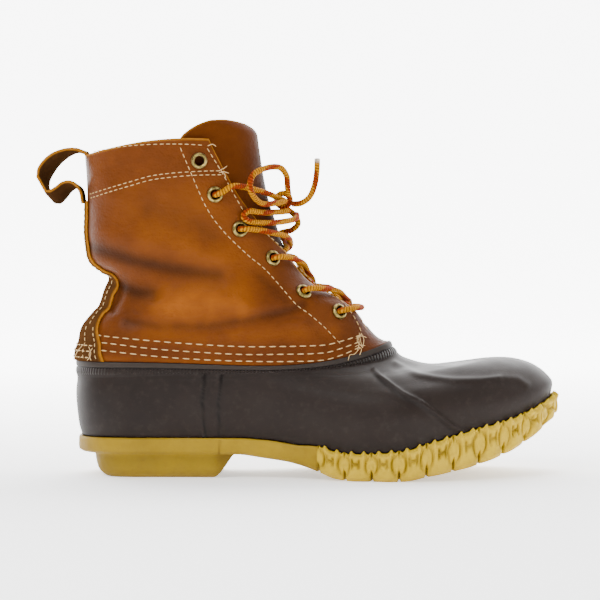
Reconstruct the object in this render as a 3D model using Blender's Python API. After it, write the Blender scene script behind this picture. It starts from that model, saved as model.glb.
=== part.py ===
"""A lace-up duck boot for the right foot: tan rubber sole, brown rubber shell and a leather shaft.

Metres, X towards the toe, Z up, medial side at +Y. The origin is the middle of the heel's flat face.
Every wall of the boot is cut from one surface, worked out from the section table below.
"""

import math

import bmesh
import bpy
import numpy as np
from mathutils import Vector

# Driving sizes
LENGTH = 0.301
BALL_WIDTH = 0.104
HEEL_WIDTH = 0.073
SHAFT_WIDTH = 0.080
SEAM_HEIGHT = 0.071
TOE_HEIGHT = 0.073
COLLAR_HEIGHT = 0.198
HEEL_HEIGHT = 0.0150
TOE_SPRING = 0.0360
SEAT_THICKNESS = 0.0105
TREAD_THICKNESS = 0.0170
RUBBER_WALL = 0.0028
FLANGE_WALL = 0.0016
FLANGE_CLEARANCE = 0.0007
LIP_STEP = 0.0007
LEATHER_WALL = 0.0022
TONGUE_WALL = 0.0020
TONGUE_CLEARANCE = 0.0021
STRIP_WALL = 0.0017
STRIP_CLEARANCE = 0.0012
INSOLE_WALL = 0.0030
GAP = 0.0003
SOLE_GAP = 0.0006

# Outsole and heel block
SOLE_MARGIN = 0.0016
LOBE_PITCH = 0.0165
LOBES_A_SIDE = 10
LOBE_BULGE = 0.0024
LOBE_RISE = 0.0020
NOTCH_DEPTH = 0.0022
LUG_WIDTH = 0.0120
GROOVE_WIDTH = 0.0028
GROOVE_DEPTH = 0.0024
HEEL_INSET = 0.0045
HEEL_BACK_INSET = 0.0100
HEEL_EDGE = 0.0045
BREAST_PLACE = 0.327
BREAST_SLOPE = 0.0100

# Eyelets, pull loop and laces
EYELET_RADIUS = 0.0050
EYELET_HOLE = 0.0028
EYELET_RIM = 0.0018
EYELET_SEAT = 0.0011
LOOP_WIDTH = 0.0170
LOOP_REACH = 0.0256
LOOP_RISE = 0.0318
LOOP_WALL = 0.0024
LACE_RADIUS = 0.0018
LACE_SIDES = 6
LACE_STEP = 0.0080

# Stations along the foot, as shares of LENGTH from the back of the heel
HEEL_STATION = 0.115
WAIST_STATION = 0.365
BALL_STATION = 0.680
ROUND_POWER = 2.15

# The heel's flat face is centred at the origin, this far from the back of the boot
HEEL_CENTRE = 0.173 * LENGTH

# Columns of the shell and the leather from the back to the throat's edge, and from there to its middle
SIDE_COLUMNS = 17
FRONT_COLUMNS = 2

# Sections of the boot's outer surface, from the sole's edge up. x is a share of LENGTH from the back.
# z is a share: at the back from the sole's edge to SEAM_HEIGHT, at the front to TOE_HEIGHT, and in the
# shaft from the seam to COLLAR_HEIGHT. rise bends a section up near its front, sag lowers its fore part
# and arch lifts its middle, as shares of SEAM_HEIGHT. dip follows the sole's own curve. heel and waist
# are shares of HEEL_WIDTH in the shell and SHAFT_WIDTH in the shaft, ball of BALL_WIDTH. The round
# columns are how far the back and front curves reach, swing is how much the last's curve shows and
# gap is half the throat's opening, in turns.
SECTION_COLUMNS = (
    "back_x", "back_z", "front_x", "front_z", "rise", "sag", "arch", "dip",
    "heel", "waist", "ball", "heel_round", "toe_round", "swing", "gap",
)
SHELL_SECTIONS = {
    "feather": (0.010, 0.000, 0.984, 0.000, 1.0, 0.000, 0.000, 1.00, 0.904, 0.904, 0.962, 0.126, 0.332, 1.00, 0.0),
    "low_wall": (0.004, 0.143, 0.988, 0.266, 1.0, 0.000, 0.000, 0.83, 0.973, 0.986, 0.990, 0.126, 0.332, 1.00, 0.0),
    "mid_wall": (0.000, 0.341, 0.981, 0.464, 1.0, 0.000, 0.000, 0.66, 1.000, 1.027, 1.000, 0.126, 0.332, 1.00, 0.0),
    "high_wall": (-0.002, 0.495, 0.963, 0.722, 1.0, 0.057, 0.000, 0.40, 1.008, 1.041, 0.971, 0.126, 0.332, 1.00, 0.0),
    "toe_brow": (-0.002, 0.604, 0.937, 0.917, 1.0, 0.090, 0.000, 0.25, 1.008, 1.041, 0.913, 0.126, 0.332, 0.95, 0.0),
    "toe_top": (-0.001, 0.681, 0.902, 1.000, 1.1, 0.111, 0.000, 0.10, 1.003, 1.036, 0.837, 0.126, 0.332, 0.90, 0.0),
    "toe_back": (0.000, 0.736, 0.857, 0.960, 1.2, 0.093, 0.000, 0.00, 0.995, 1.030, 0.760, 0.126, 0.325, 0.80, 0.0),
    "toe_hollow": (0.000, 0.787, 0.797, 0.829, 1.5, 0.036, 0.000, 0.00, 0.986, 1.025, 0.692, 0.126, 0.310, 0.70, 0.0),
    "vamp_hollow": (0.000, 0.831, 0.731, 0.806, 2.5, 0.012, 0.004, 0.00, 0.978, 1.019, 0.635, 0.126, 0.300, 0.60, 0.0),
    "vamp_rise": (0.001, 0.879, 0.681, 0.968, 4.0, 0.016, 0.004, 0.00, 0.970, 1.014, 0.596, 0.126, 0.280, 0.50, 0.0),
    "lip": (0.001, 0.934, 0.657, 1.167, 5.0, 0.045, 0.010, 0.00, 0.964, 1.008, 0.577, 0.126, 0.265, 0.45, 0.0),
    "seam": (0.001, 1.000, 0.646, 1.377, 5.0, 0.057, 0.014, 0.00, 0.959, 1.000, 0.558, 0.126, 0.250, 0.40, 0.0),
}
SHAFT_SECTIONS = {
    "stitch_low": (0.001, 0.040, 0.635, 0.009, 5.0, 0.057, 0.014, 0.0, 0.875, 0.912, 0.558, 0.126, 0.250, 0.35, 0.0),
    "stitch_high": (0.008, 0.086, 0.621, 0.030, 4.5, 0.043, 0.010, 0.0, 0.875, 0.920, 0.558, 0.129, 0.255, 0.30, 0.0),
    "throat": (0.015, 0.156, 0.605, 0.075, 3.5, 0.029, 0.000, 0.0, 0.870, 0.932, 0.570, 0.133, 0.260, 0.25, 0.030),
    "heel_bulge": (0.036, 0.221, 0.594, 0.130, 2.5, 0.014, 0.000, 0.0, 0.862, 0.945, 0.600, 0.138, 0.255, 0.15, 0.033),
    "fold_low": (0.050, 0.258, 0.571, 0.204, 1.6, 0.000, 0.000, 0.0, 0.850, 0.950, 0.640, 0.145, 0.250, 0.10, 0.043),
    "fold_mid": (0.060, 0.328, 0.532, 0.264, 1.2, 0.000, 0.000, 0.0, 0.840, 0.950, 0.680, 0.152, 0.235, 0.05, 0.049),
    "fold_deep": (0.067, 0.402, 0.492, 0.329, 1.0, 0.000, 0.000, 0.0, 0.838, 0.940, 0.700, 0.160, 0.219, 0.00, 0.052),
    "fold_high": (0.053, 0.441, 0.465, 0.411, 1.0, 0.000, 0.000, 0.0, 0.850, 0.940, 0.700, 0.165, 0.214, 0.00, 0.057),
    "fold_brow": (0.030, 0.484, 0.449, 0.489, 1.0, 0.000, 0.000, 0.0, 0.875, 0.950, 0.700, 0.170, 0.210, 0.00, 0.066),
    "ankle": (0.018, 0.551, 0.436, 0.558, 1.0, 0.000, 0.000, 0.0, 0.908, 0.962, 0.700, 0.176, 0.205, 0.00, 0.088),
    "shaft_low": (0.021, 0.641, 0.424, 0.662, 1.0, 0.000, 0.020, 0.0, 0.945, 0.975, 0.700, 0.182, 0.200, 0.00, 0.115),
    "shaft_mid": (0.021, 0.766, 0.410, 0.775, 1.0, 0.000, 0.050, 0.0, 0.970, 0.988, 0.700, 0.186, 0.195, 0.00, 0.142),
    "band": (0.020, 0.890, 0.399, 0.913, 1.0, 0.000, 0.080, 0.0, 0.988, 0.995, 0.700, 0.187, 0.190, 0.00, 0.166),
    "collar": (0.016, 1.000, 0.391, 1.052, 1.0, 0.000, 0.095, 0.0, 1.000, 1.000, 0.700, 0.187, 0.186, 0.00, 0.185),
    "above": (0.015, 1.109, 0.384, 1.143, 1.0, 0.000, 0.080, 0.0, 1.000, 1.000, 0.700, 0.187, 0.184, 0.00, 0.190),
    "tongue_top": (0.015, 1.203, 0.358, 1.217, 1.0, 0.000, 0.050, 0.0, 1.000, 1.000, 0.700, 0.187, 0.180, 0.00, 0.200),
}

# The sole's underside: share of LENGTH, then shares of HEEL_HEIGHT and of TOE_SPRING
SOLE_UNDERSIDE = (
    (0.000, 1.00, 0.00), (0.335, 1.00, 0.00), (0.385, 0.87, 0.00), (0.440, 0.71, 0.00),
    (0.475, 0.52, 0.00), (0.505, 0.30, 0.00), (0.535, 0.08, 0.00), (0.565, 0.00, 0.00),
    (0.660, 0.00, 0.00), (0.725, 0.00, 0.09), (0.790, 0.00, 0.20), (0.848, 0.00, 0.34),
    (0.903, 0.00, 0.53), (0.950, 0.00, 0.77), (1.000, 0.00, 1.06),
)
# The sole's thickness at its edge: share of LENGTH, then shares of SEAT_THICKNESS and TREAD_THICKNESS
SOLE_THICKNESS = (
    (0.000, 0.95, 0.00), (0.100, 1.00, 0.00), (0.330, 1.00, 0.00), (0.410, 1.13, 0.00),
    (0.470, 0.00, 0.78), (0.520, 0.00, 0.98), (0.600, 0.00, 1.00), (0.660, 0.00, 1.08),
    (0.725, 0.00, 1.20), (0.810, 0.00, 1.30), (0.870, 0.00, 1.20), (0.940, 0.00, 0.98),
    (1.000, 0.00, 0.72),
)
# How far the last's middle line lies to the medial side: share of LENGTH, then of BALL_WIDTH
LAST_CURVE = ((0.00, 0.000), (0.18, 0.000), (0.42, -0.020), (0.68, -0.012), (0.86, 0.035), (1.00, 0.085))
# How much narrower the medial waist is, as a share of HEEL_WIDTH
ARCH_IN = 0.065
# Eyelets from the collar down: level, and how far from the throat's edge, in turns
EYELETS = ((24.15, 0.038), (23.00, 0.045), (21.59, 0.050), (19.61, 0.049), (17.19, 0.062), (15.56, 0.050))

# The lace at a crossing, measured from the boot's surface over the throat
CROSS_OFFSET = -0.0010
# The knot's place in front of the tongue, its wraps, and the top bar's bends on the lateral side
KNOT_PLACE = (0.0765, 0.0, 0.1705)
KNOT_TURNS = 2.0
TOP_BAR = ((0.0480, -0.0375, 0.1790), (0.0640, -0.0215, 0.1755), (0.0740, -0.0080, 0.1715))
# The bow's loops and ends, in metres from the knot's place
LOOP_A = (
    (0.0020, -0.0068, -0.0005), (-0.0045, -0.0170, -0.0020), (-0.0135, -0.0285, -0.0020),
    (-0.0195, -0.0380, 0.0060), (-0.0180, -0.0370, 0.0150), (-0.0100, -0.0300, 0.0195),
    (-0.0020, -0.0220, 0.0200), (0.0022, -0.0180, 0.0150), (0.0028, -0.0150, 0.0080),
    (0.0035, -0.0125, 0.0025),
)
LOOP_B = (
    (0.0040, -0.0070, -0.0068), (-0.0035, -0.0150, -0.0075), (-0.0130, -0.0255, -0.0078),
    (-0.0210, -0.0330, -0.0080), (-0.0205, -0.0345, -0.0125), (-0.0120, -0.0270, -0.0132),
    (-0.0030, -0.0170, -0.0135), (0.0050, -0.0070, -0.0125),
)
END_A = (
    (0.0054, -0.0024, -0.0024), (0.0108, -0.0045, -0.0020), (0.0160, -0.0060, 0.0015),
    (0.0192, -0.0060, 0.0080), (0.0208, -0.0050, 0.0165), (0.0212, -0.0040, 0.0260),
)
END_B = (
    (0.0048, 0.0036, -0.0046), (0.0085, 0.0045, -0.0105), (0.0085, 0.0060, -0.0160),
    (0.0040, 0.0070, -0.0190), (0.0000, 0.0075, -0.0195),
)


def eased(knots, place):
    """Reads a smooth curve through knots of (place, value) and stays level beyond both ends."""
    xs = [knot[0] for knot in knots]
    ys = [knot[1] for knot in knots]
    if place <= xs[0]:
        return ys[0]
    if place >= xs[-1]:
        return ys[-1]
    last = len(xs) - 1
    k = max(i for i in range(last) if xs[i] <= place)
    span = xs[k + 1] - xs[k]
    step = (ys[k + 1] - ys[k]) / span

    def slope(i):
        if i in (0, last):
            return 0.0
        before = (ys[i] - ys[i - 1]) / (xs[i] - xs[i - 1])
        after = (ys[i + 1] - ys[i]) / (xs[i + 1] - xs[i])
        return 0.0 if before * after <= 0.0 else 2.0 * before * after / (before + after)

    t = (place - xs[k]) / span
    start, end = slope(k), slope(k + 1)
    curve = start + end - 2.0 * step
    return ys[k] + span * t * (start + t * (3.0 * step - 2.0 * start - end + t * curve))


def underside(share):
    """Height of the sole's underside at a share of LENGTH."""
    heel = eased([(row[0], row[1]) for row in SOLE_UNDERSIDE], share)
    toe = eased([(row[0], row[2]) for row in SOLE_UNDERSIDE], share)
    return heel * HEEL_HEIGHT + toe * TOE_SPRING


def feather(share):
    """Height of the rubber shell's lower edge at a share of LENGTH."""
    seat = eased([(row[0], row[1]) for row in SOLE_THICKNESS], share)
    tread = eased([(row[0], row[2]) for row in SOLE_THICKNESS], share)
    return underside(share) + seat * SEAT_THICKNESS + tread * TREAD_THICKNESS


def real_sections():
    """The section tables in metres, as one array with a row for each level."""
    name = {column: i for i, column in enumerate(SECTION_COLUMNS)}
    rows = []
    lowest = SHELL_SECTIONS["feather"]
    low_back, low_front = feather(lowest[name["back_x"]]), feather(lowest[name["front_x"]])
    for row in SHELL_SECTIONS.values():
        row = list(row)
        row[name["back_z"]] = low_back + row[name["back_z"]] * (SEAM_HEIGHT - low_back)
        row[name["front_z"]] = low_front + row[name["front_z"]] * (TOE_HEIGHT - low_front)
        row[name["heel"]] *= HEEL_WIDTH / 2
        row[name["waist"]] *= HEEL_WIDTH / 2
        rows.append(row)
    seam_front = rows[-1][name["front_z"]]
    for row in SHAFT_SECTIONS.values():
        row = list(row)
        row[name["back_z"]] = SEAM_HEIGHT + row[name["back_z"]] * (COLLAR_HEIGHT - SEAM_HEIGHT)
        row[name["front_z"]] = seam_front + row[name["front_z"]] * (COLLAR_HEIGHT - seam_front)
        row[name["heel"]] *= SHAFT_WIDTH / 2
        row[name["waist"]] *= SHAFT_WIDTH / 2
        rows.append(row)
    for row in rows:
        row[name["ball"]] *= BALL_WIDTH / 2
        for column in ("sag", "arch"):
            row[name[column]] *= SEAM_HEIGHT
        for column in ("back_x", "front_x", "heel_round", "toe_round"):
            row[name[column]] *= LENGTH
    return np.array(rows)


SECTIONS = real_sections()
LEVEL = {name: i for i, name in enumerate([*SHELL_SECTIONS, *SHAFT_SECTIONS])}


def section(level):
    """One section's sizes at any level, on smooth curves through the table's rows."""
    last = len(SECTIONS) - 1
    level = min(max(level, 0.0), float(last))
    k = min(int(level), last - 1)
    t = level - k
    before, here = SECTIONS[max(k - 1, 0)], SECTIONS[k]
    after, beyond = SECTIONS[k + 1], SECTIONS[min(k + 2, last)]
    start, end = (after - here + here - before) / 2, (beyond - after + after - here) / 2
    h = (2 * t**3 - 3 * t**2 + 1, t**3 - 2 * t**2 + t, -2 * t**3 + 3 * t**2, t**3 - t**2)
    row = h[0] * here + h[1] * start + h[2] * after + h[3] * end
    return dict(zip(SECTION_COLUMNS, row))


def rounded(distance, reach):
    """Share of the full width at a distance from a section's end, along its round end."""
    q = min(max(distance / reach, 0.0), 1.0)
    return (1.0 - (1.0 - q) ** ROUND_POWER) ** (1.0 / ROUND_POWER)


def bare_point(turn, level):
    """A point of the outer surface. turn is 0 at the back, 0.5 at the front, lateral side first."""
    row = section(level)
    angle = 2.0 * math.pi * turn
    along = (1.0 - math.cos(angle)) / 2.0
    length = row["front_x"] - row["back_x"]
    x = row["back_x"] + along * length
    share = x / LENGTH
    side = 1.0 if math.sin(angle) < 0.0 else -1.0
    waist = row["waist"]
    if side > 0.0:
        waist -= ARCH_IN * HEEL_WIDTH * row["swing"]
    knots = ((HEEL_STATION, row["heel"]), (WAIST_STATION, waist), (BALL_STATION, row["ball"]))
    width = eased(knots, share)
    width *= rounded(x - row["back_x"], row["heel_round"]) * rounded(row["front_x"] - x, row["toe_round"])
    y = side * width + eased(LAST_CURVE, share) * BALL_WIDTH * row["swing"]
    z = row["back_z"] + (row["front_z"] - row["back_z"]) * along ** row["rise"]
    z += row["arch"] * math.sin(math.pi * along) - row["sag"] * math.sin(math.pi * along**2)
    sole_back, sole_front = SHELL_SECTIONS["feather"][0], SHELL_SECTIONS["feather"][2]
    straight = feather(sole_back) + (feather(sole_front) - feather(sole_back)) * along
    z += row["dip"] * (feather(share) - straight)
    return Vector((x - HEEL_CENTRE, y, z))


def outward(turn, level):
    """The outer surface's unit normal."""
    step = 0.0015
    around = bare_point(turn + step, level) - bare_point(turn - step, level)
    top = len(SECTIONS) - 1.0
    up = bare_point(turn, min(level + 0.05, top)) - bare_point(turn, max(level - 0.05, 0.0))
    return around.cross(up).normalized()


def surface(turn, level, offset=0.0):
    """A point at an offset from the outer surface, positive outwards."""
    point = bare_point(turn, level)
    return point + outward(turn, level) * offset if offset else point


def material(name, colour, roughness, metallic=0.0):
    """A Principled material with the piece's own colour."""
    made = bpy.data.materials.new(name)
    made.use_nodes = True
    shader = made.node_tree.nodes["Principled BSDF"]
    shader.inputs["Base Color"].default_value = (*colour, 1.0)
    shader.inputs["Roughness"].default_value = roughness
    shader.inputs["Metallic"].default_value = metallic
    made.diffuse_color = (*colour, 1.0)
    return made


def mesh_object(name, points, faces, finish):
    """A named object from points and faces, shaded smooth apart from its edges."""
    mesh = bpy.data.meshes.new(name)
    mesh.from_pydata([tuple(point) for point in points], [], faces)
    mesh.materials.append(finish)
    mesh.shade_smooth()
    mesh.set_sharp_from_angle(angle=math.radians(40))
    made = bpy.data.objects.new(name, mesh)
    bpy.context.collection.objects.link(made)
    return made


def walled_sheet(name, finish, grid, outer, inner, keep=None, closed=False):
    """A sheet with a wall: grid holds rows of (turn, level), outer and inner are its two offsets."""
    rows, columns = len(grid), len(grid[0])
    cells_across = columns if closed else columns - 1
    cells = [
        (r, c) for r in range(rows - 1) for c in range(cells_across) if keep is None or keep(r, c)
    ]
    kept = set(cells)
    points, number = [], {}

    def corner(r, c, layer):
        key = (r, c % columns, layer)
        if key not in number:
            number[key] = len(points)
            turn, level = grid[r][c % columns]
            offset = (outer, inner)[layer]
            points.append(surface(turn, level, offset(turn, level) if callable(offset) else offset))
        return number[key]

    faces = []
    for r, c in cells:
        ring = ((r, c), (r, c + 1), (r + 1, c + 1), (r + 1, c))
        faces.append([corner(*place, 0) for place in ring])
        faces.append([corner(*place, 1) for place in reversed(ring)])
        wrap = cells_across if closed else columns + 1
        beside = ((r - 1, c), (r, (c + 1) % wrap), (r + 1, c), (r, (c - 1) % wrap))
        for k, neighbour in enumerate(beside):
            if neighbour in kept:
                continue
            a, b = ring[k], ring[(k + 1) % 4]
            faces.append([corner(*b, 0), corner(*a, 0), corner(*a, 1), corner(*b, 1)])
    return mesh_object(name, points, faces, finish)


def ring_body(name, finish, profile, turns):
    """A closed band around the boot: profile is a loop of (level, offset), outside going up first."""
    count, around = len(profile), len(turns)
    points = [surface(turn, level, offset) for level, offset in profile for turn in turns]
    faces = []
    for i in range(count):
        k = (i + 1) % count
        for j in range(around):
            n = (j + 1) % around
            faces.append([i * around + j, i * around + n, k * around + n, k * around + j])
    return mesh_object(name, points, faces, finish)


def stacked_loops(name, finish, loops):
    """A solid from loops of points, lowest first, closed across its first and last loops."""
    around = len(loops[0])
    points = [point for loop in loops for point in loop]
    faces = []
    for k in range(len(loops) - 1):
        low, high = k * around, (k + 1) * around
        for j in range(around):
            n = (j + 1) % around
            faces.append([low + j, low + n, high + n, high + j])
    half = around // 2
    top = (len(loops) - 1) * around
    for first, order in ((0, -1), (top, 1)):
        strips = [(0, 1, around - 1), (half - 1, half, half + 1)]
        strips += [(j, j + 1, around - j - 1, around - j) for j in range(1, half - 1)]
        faces += [[first + j for j in strip][::order] for strip in strips]
    return mesh_object(name, points, faces, finish)


def outline(turn, margin):
    """A plan point of the sole's edge, moved outwards by margin. Its height is left at 0."""
    here = bare_point(turn, 0.0)
    ahead, behind = bare_point(turn + 0.002, 0.0), bare_point(turn - 0.002, 0.0)
    away = Vector((ahead.y - behind.y, behind.x - ahead.x, 0.0)).normalized()
    return Vector((here.x, here.y, 0.0)) + away * margin


def share_of(x):
    """A place along X as a share of LENGTH from the back."""
    return (x + HEEL_CENTRE) / LENGTH


def turns_by_distance(side):
    """Turns at steps of distance back from the toe tip, on one side of the sole's edge."""
    count = 240
    turns = [0.5 + side * 0.5 * i / count for i in range(count + 1)]
    places = [outline(turn, 0.0) for turn in turns]
    walked = [0.0]
    for a, b in zip(places, places[1:]):
        walked.append(walked[-1] + (b - a).length)
    return walked, turns


def sole_stations():
    """Stations around the sole from the back, lateral side first, as (turn, lobe), lobe 0 to 1."""
    steps = 4
    back_steps = 17
    lateral, medial = [], []
    for side, listed in ((-1, lateral), (1, medial)):
        walked, turns = turns_by_distance(side)
        tread = (LOBES_A_SIDE + 0.5) * LOBE_PITCH
        for i in range(1, back_steps):
            ease = (i / back_steps) ** 0.9
            distance = walked[-1] + (tread - walked[-1]) * ease
            listed.append((float(np.interp(distance, walked, turns)), None))
        count = int(round((LOBES_A_SIDE + 0.5) * steps))
        for i in range(count, 0, -1):
            phase = (i / steps + 0.5) % 1.0 * 2.0 - 1.0
            bulge = math.sqrt(max(1.0 - phase * phase, 0.0))
            listed.append((float(np.interp(i / steps * LOBE_PITCH, walked, turns)), bulge))
    return [(0.0, None), *lateral, (0.5, 1.0), *reversed(medial)]


def build_outsole(finish):
    """One moulded unit: seat band, shank and the chain tread with its lobed edge and lugs."""
    stations = sole_stations()

    def loop(plain, lobed, height):
        points = []
        for turn, lobe in stations:
            margin = plain if lobe is None else lobed(lobe)
            point = outline(turn, margin)
            share = share_of(bare_point(turn, 0.0).x)
            point.z = height(share, lobe)
            points.append(point)
        return points

    def side_height(down):
        def height(share, lobe):
            low, high = underside(share), feather(share) - SOLE_GAP
            rise = 0.0 if lobe is None else LOBE_RISE * lobe * (1.0 - down)
            notch = 0.0 if lobe is None else NOTCH_DEPTH * (1.0 - math.ceil(lobe)) * down
            return high + rise - (high - low) * down + notch
        return height

    def floor_height(groove):
        def height(share, lobe):
            notch = 0.0 if lobe is None else max(NOTCH_DEPTH * (1.0 - math.ceil(lobe)), groove)
            return underside(share) + notch
        return height

    inner = LUG_WIDTH + GROOVE_WIDTH
    loops = [
        loop(-inner, lambda lobe: -inner, lambda share, lobe: underside(share)),
        loop(-LUG_WIDTH, lambda lobe: -LUG_WIDTH, floor_height(GROOVE_DEPTH)),
        loop(-LUG_WIDTH + GROOVE_WIDTH, lambda lobe: -LUG_WIDTH + GROOVE_WIDTH, floor_height(0.0)),
        loop(0.0, lambda lobe: 0.5 * LOBE_BULGE * lobe, side_height(1.0)),
        loop(SOLE_MARGIN, lambda lobe: SOLE_MARGIN + 0.8 * LOBE_BULGE * lobe, side_height(0.86)),
        loop(SOLE_MARGIN, lambda lobe: SOLE_MARGIN + LOBE_BULGE * lobe, side_height(0.45)),
        loop(SOLE_MARGIN, lambda lobe: SOLE_MARGIN + 0.7 * LOBE_BULGE * lobe, side_height(0.08)),
        loop(0.8 * SOLE_MARGIN, lambda lobe: 0.8 * SOLE_MARGIN + 0.2 * LOBE_BULGE * lobe, side_height(0.0)),
        loop(0.3 * SOLE_MARGIN, lambda lobe: 0.3 * SOLE_MARGIN, lambda share, lobe: feather(share) - SOLE_GAP),
    ]
    return stacked_loops("outsole", finish, loops)


def build_heel(finish):
    """The heel block under the seat band, with a rounded lower edge and a sloping breast."""
    steps = 15
    top = HEEL_HEIGHT - GAP

    def loop(z, inset):
        breast = BREAST_PLACE * LENGTH - HEEL_CENTRE - BREAST_SLOPE * (top - z) / top - inset / 2
        walked = [bare_point(0.5 * i / 400, 0.0).x for i in range(401)]
        last_turn = float(np.interp(breast + HEEL_INSET, walked, [0.5 * i / 400 for i in range(401)]))
        points = []
        for side in (1, -1):
            half = []
            for i in range(1, steps):
                turn = last_turn * (i / (steps - 1)) ** 0.8
                point = outline(turn if side > 0 else -turn, -HEEL_INSET - inset)
                back = max(0.0, 1.0 - turn / (0.5 * last_turn))
                point.x += (HEEL_BACK_INSET - HEEL_INSET) * back**2
                point.x = min(point.x, breast)
                point.z = z
                half.append(point)
            end = half[-1].copy()
            end.x = breast
            half[-1] = end
            points.append(half)
        back_point = outline(0.0, -HEEL_BACK_INSET - inset)
        back_point.z = z
        middle = (points[0][-1] + points[1][-1]) / 2
        return [back_point, *points[0], middle, *reversed(points[1])]

    loops = [
        loop(0.0, HEEL_EDGE),
        loop(0.12 * HEEL_HEIGHT, 0.35 * HEEL_EDGE),
        loop(0.36 * HEEL_HEIGHT, 0.0),
        loop(0.88 * HEEL_HEIGHT, 0.0),
        loop(top, -0.3 * HEEL_EDGE),
    ]
    return stacked_loops("heel", finish, loops)


def build_insole(finish):
    """The footbed: a flat-bottomed sheet inside the shell, on the outsole."""
    turns = [i / 42 for i in range(42)]
    inset = RUBBER_WALL + 5 * GAP

    def loop(lift, pull):
        points = []
        for turn in turns:
            point = outline(turn, -inset - pull)
            point.z = feather(share_of(bare_point(turn, 0.0).x)) + SOLE_GAP + lift
            points.append(point)
        return points

    edge = INSOLE_WALL / 3
    loops = [loop(0.0, edge), loop(edge, 0.0), loop(INSOLE_WALL - edge, 0.0), loop(INSOLE_WALL, edge)]
    return stacked_loops("insole", finish, loops)


def build_shell(finish):
    """The moulded rubber bottom: its wall, the lip under the leather and the flange behind it."""
    seam, lip = LEVEL["seam"], LEVEL["lip"]
    flange_top = LEVEL["throat"] - 1.0
    behind = -LEATHER_WALL - FLANGE_CLEARANCE
    outer = [(level, 0.0) for level in (0, 0.5, 1, 2, 3, 4, 5, 6, 7, 8, 9, lip - 0.25)]
    step = [(lip, LIP_STEP), (seam, LIP_STEP), (seam, behind), (seam + 1, behind), (flange_top, behind)]
    back = [(flange_top, behind - FLANGE_WALL), (seam, behind - FLANGE_WALL), (lip - 0.6, -RUBBER_WALL)]
    inner = [(level, -RUBBER_WALL) for level in (8, 6.5, 5, 4, 3, 2, 1, 0)]
    return ring_body("rubber_shell", finish, outer + step + back + inner, column_turns(LEVEL["throat"])[:-1])


def throat_gap(level):
    """Half the throat's opening at a level, in turns."""
    return section(level)["gap"]


def leather_levels():
    """The levels of the leather's rows, from just above the rubber's lip to the collar."""
    seam, collar = LEVEL["seam"], LEVEL["collar"]
    return [seam + 0.08, *(float(level) for level in range(seam + 1, collar + 1))]


def column_turns(level):
    """Turns once around a level: even columns to the throat's edge, then across it."""
    gap = throat_gap(max(level, float(LEVEL["throat"])))
    side = [(0.5 - gap) * i / SIDE_COLUMNS for i in range(SIDE_COLUMNS + 1)]
    front = [0.5 - gap + gap * i / FRONT_COLUMNS for i in range(1, FRONT_COLUMNS)]
    return side + front + [0.5] + [1.0 - turn for turn in reversed(side + front)]


def leather_grid():
    """Rows of (turn, level) over the leather, and which of their cells are kept."""
    levels = leather_levels()
    grid = [[(turn, level) for turn in column_turns(level)[:-1]] for level in levels]
    rows_closed = sum(1 for level in levels if level < LEVEL["throat"])
    front_cells = set(range(SIDE_COLUMNS, SIDE_COLUMNS + 2 * FRONT_COLUMNS))
    return grid, lambda r, c: r < rows_closed or c not in front_cells


def eyelet_places():
    """Each eyelet's (name, turn, level), from the collar down, on both sides of the throat."""
    places = []
    for number, (level, inset) in enumerate(EYELETS, 1):
        turn = 0.5 - throat_gap(level) - inset
        places.append((f"eyelet_lateral_{number}", turn, level))
        places.append((f"eyelet_medial_{number}", 1.0 - turn, level))
    return places


def build_leather(finish):
    """The leather upper, open at the collar and the throat, with its eyelet holes cut through."""
    grid, keep = leather_grid()
    leather = walled_sheet("leather_upper", finish, grid, 0.0, -LEATHER_WALL, keep, closed=True)
    cutters = bmesh.new()
    for _, turn, level in eyelet_places():
        place = surface(turn, level, -LEATHER_WALL / 2)
        turned = outward(turn, level).to_track_quat("Z", "Y").to_matrix().to_4x4()
        turned.translation = place
        bmesh.ops.create_cone(
            cutters, cap_ends=True, segments=10, radius1=EYELET_HOLE + 4 * GAP,
            radius2=EYELET_HOLE + 4 * GAP, depth=4 * LEATHER_WALL, matrix=turned,
        )
    mesh = bpy.data.meshes.new("eyelet_cutter")
    cutters.to_mesh(mesh)
    cutters.free()
    cutter = bpy.data.objects.new("eyelet_cutter", mesh)
    cutter.hide_render = True
    cutter.display_type = "WIRE"
    bpy.context.collection.objects.link(cutter)
    holes = leather.modifiers.new("Eyelet holes", "BOOLEAN")
    holes.operation = "DIFFERENCE"
    holes.object = cutter
    return leather


def build_tongue(finish):
    """The tongue: a curved sheet under the eyestays that stands above the collar."""
    bottom = LEVEL["throat"] - 0.6
    half = ((bottom, 0.075), (17.0, 0.105), (20.0, 0.140), (23.0, 0.180), (26.0, 0.215))
    top = ((0.0, 26.15), (0.33, 26.55), (0.60, 26.50), (0.82, 25.9), (1.0, 24.9))
    rows, columns = 10, 12
    grid = []
    for r in range(rows + 1):
        row = []
        for c in range(columns + 1):
            across = 2.0 * c / columns - 1.0
            level = bottom + (eased(top, abs(across)) - bottom) * r / rows
            row.append((0.5 + across * eased(half, level), level))
        grid.append(row)
    near = -LEATHER_WALL - TONGUE_CLEARANCE
    return walled_sheet("tongue", finish, grid, near, near - TONGUE_WALL)


def build_backstay(finish):
    """The strip sewn over the back seam, flared where it meets the rubber."""
    seam = LEVEL["seam"]
    half = (
        (seam, 0.102), (seam + 1.0, 0.098), (seam + 2.0, 0.092), (seam + 3.0, 0.078),
        (seam + 4.0, 0.046), (seam + 5.0, 0.036), (seam + 12.0, 0.036),
    )
    levels = [level for level in leather_levels() if level <= LEVEL["shaft_mid"]]
    columns = 6
    grid = [
        [(eased(half, level) * (2.0 * c / columns - 1.0), level) for c in range(columns + 1)]
        for level in levels
    ]
    return walled_sheet("backstay", finish, grid, STRIP_CLEARANCE + STRIP_WALL, STRIP_CLEARANCE)


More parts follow.
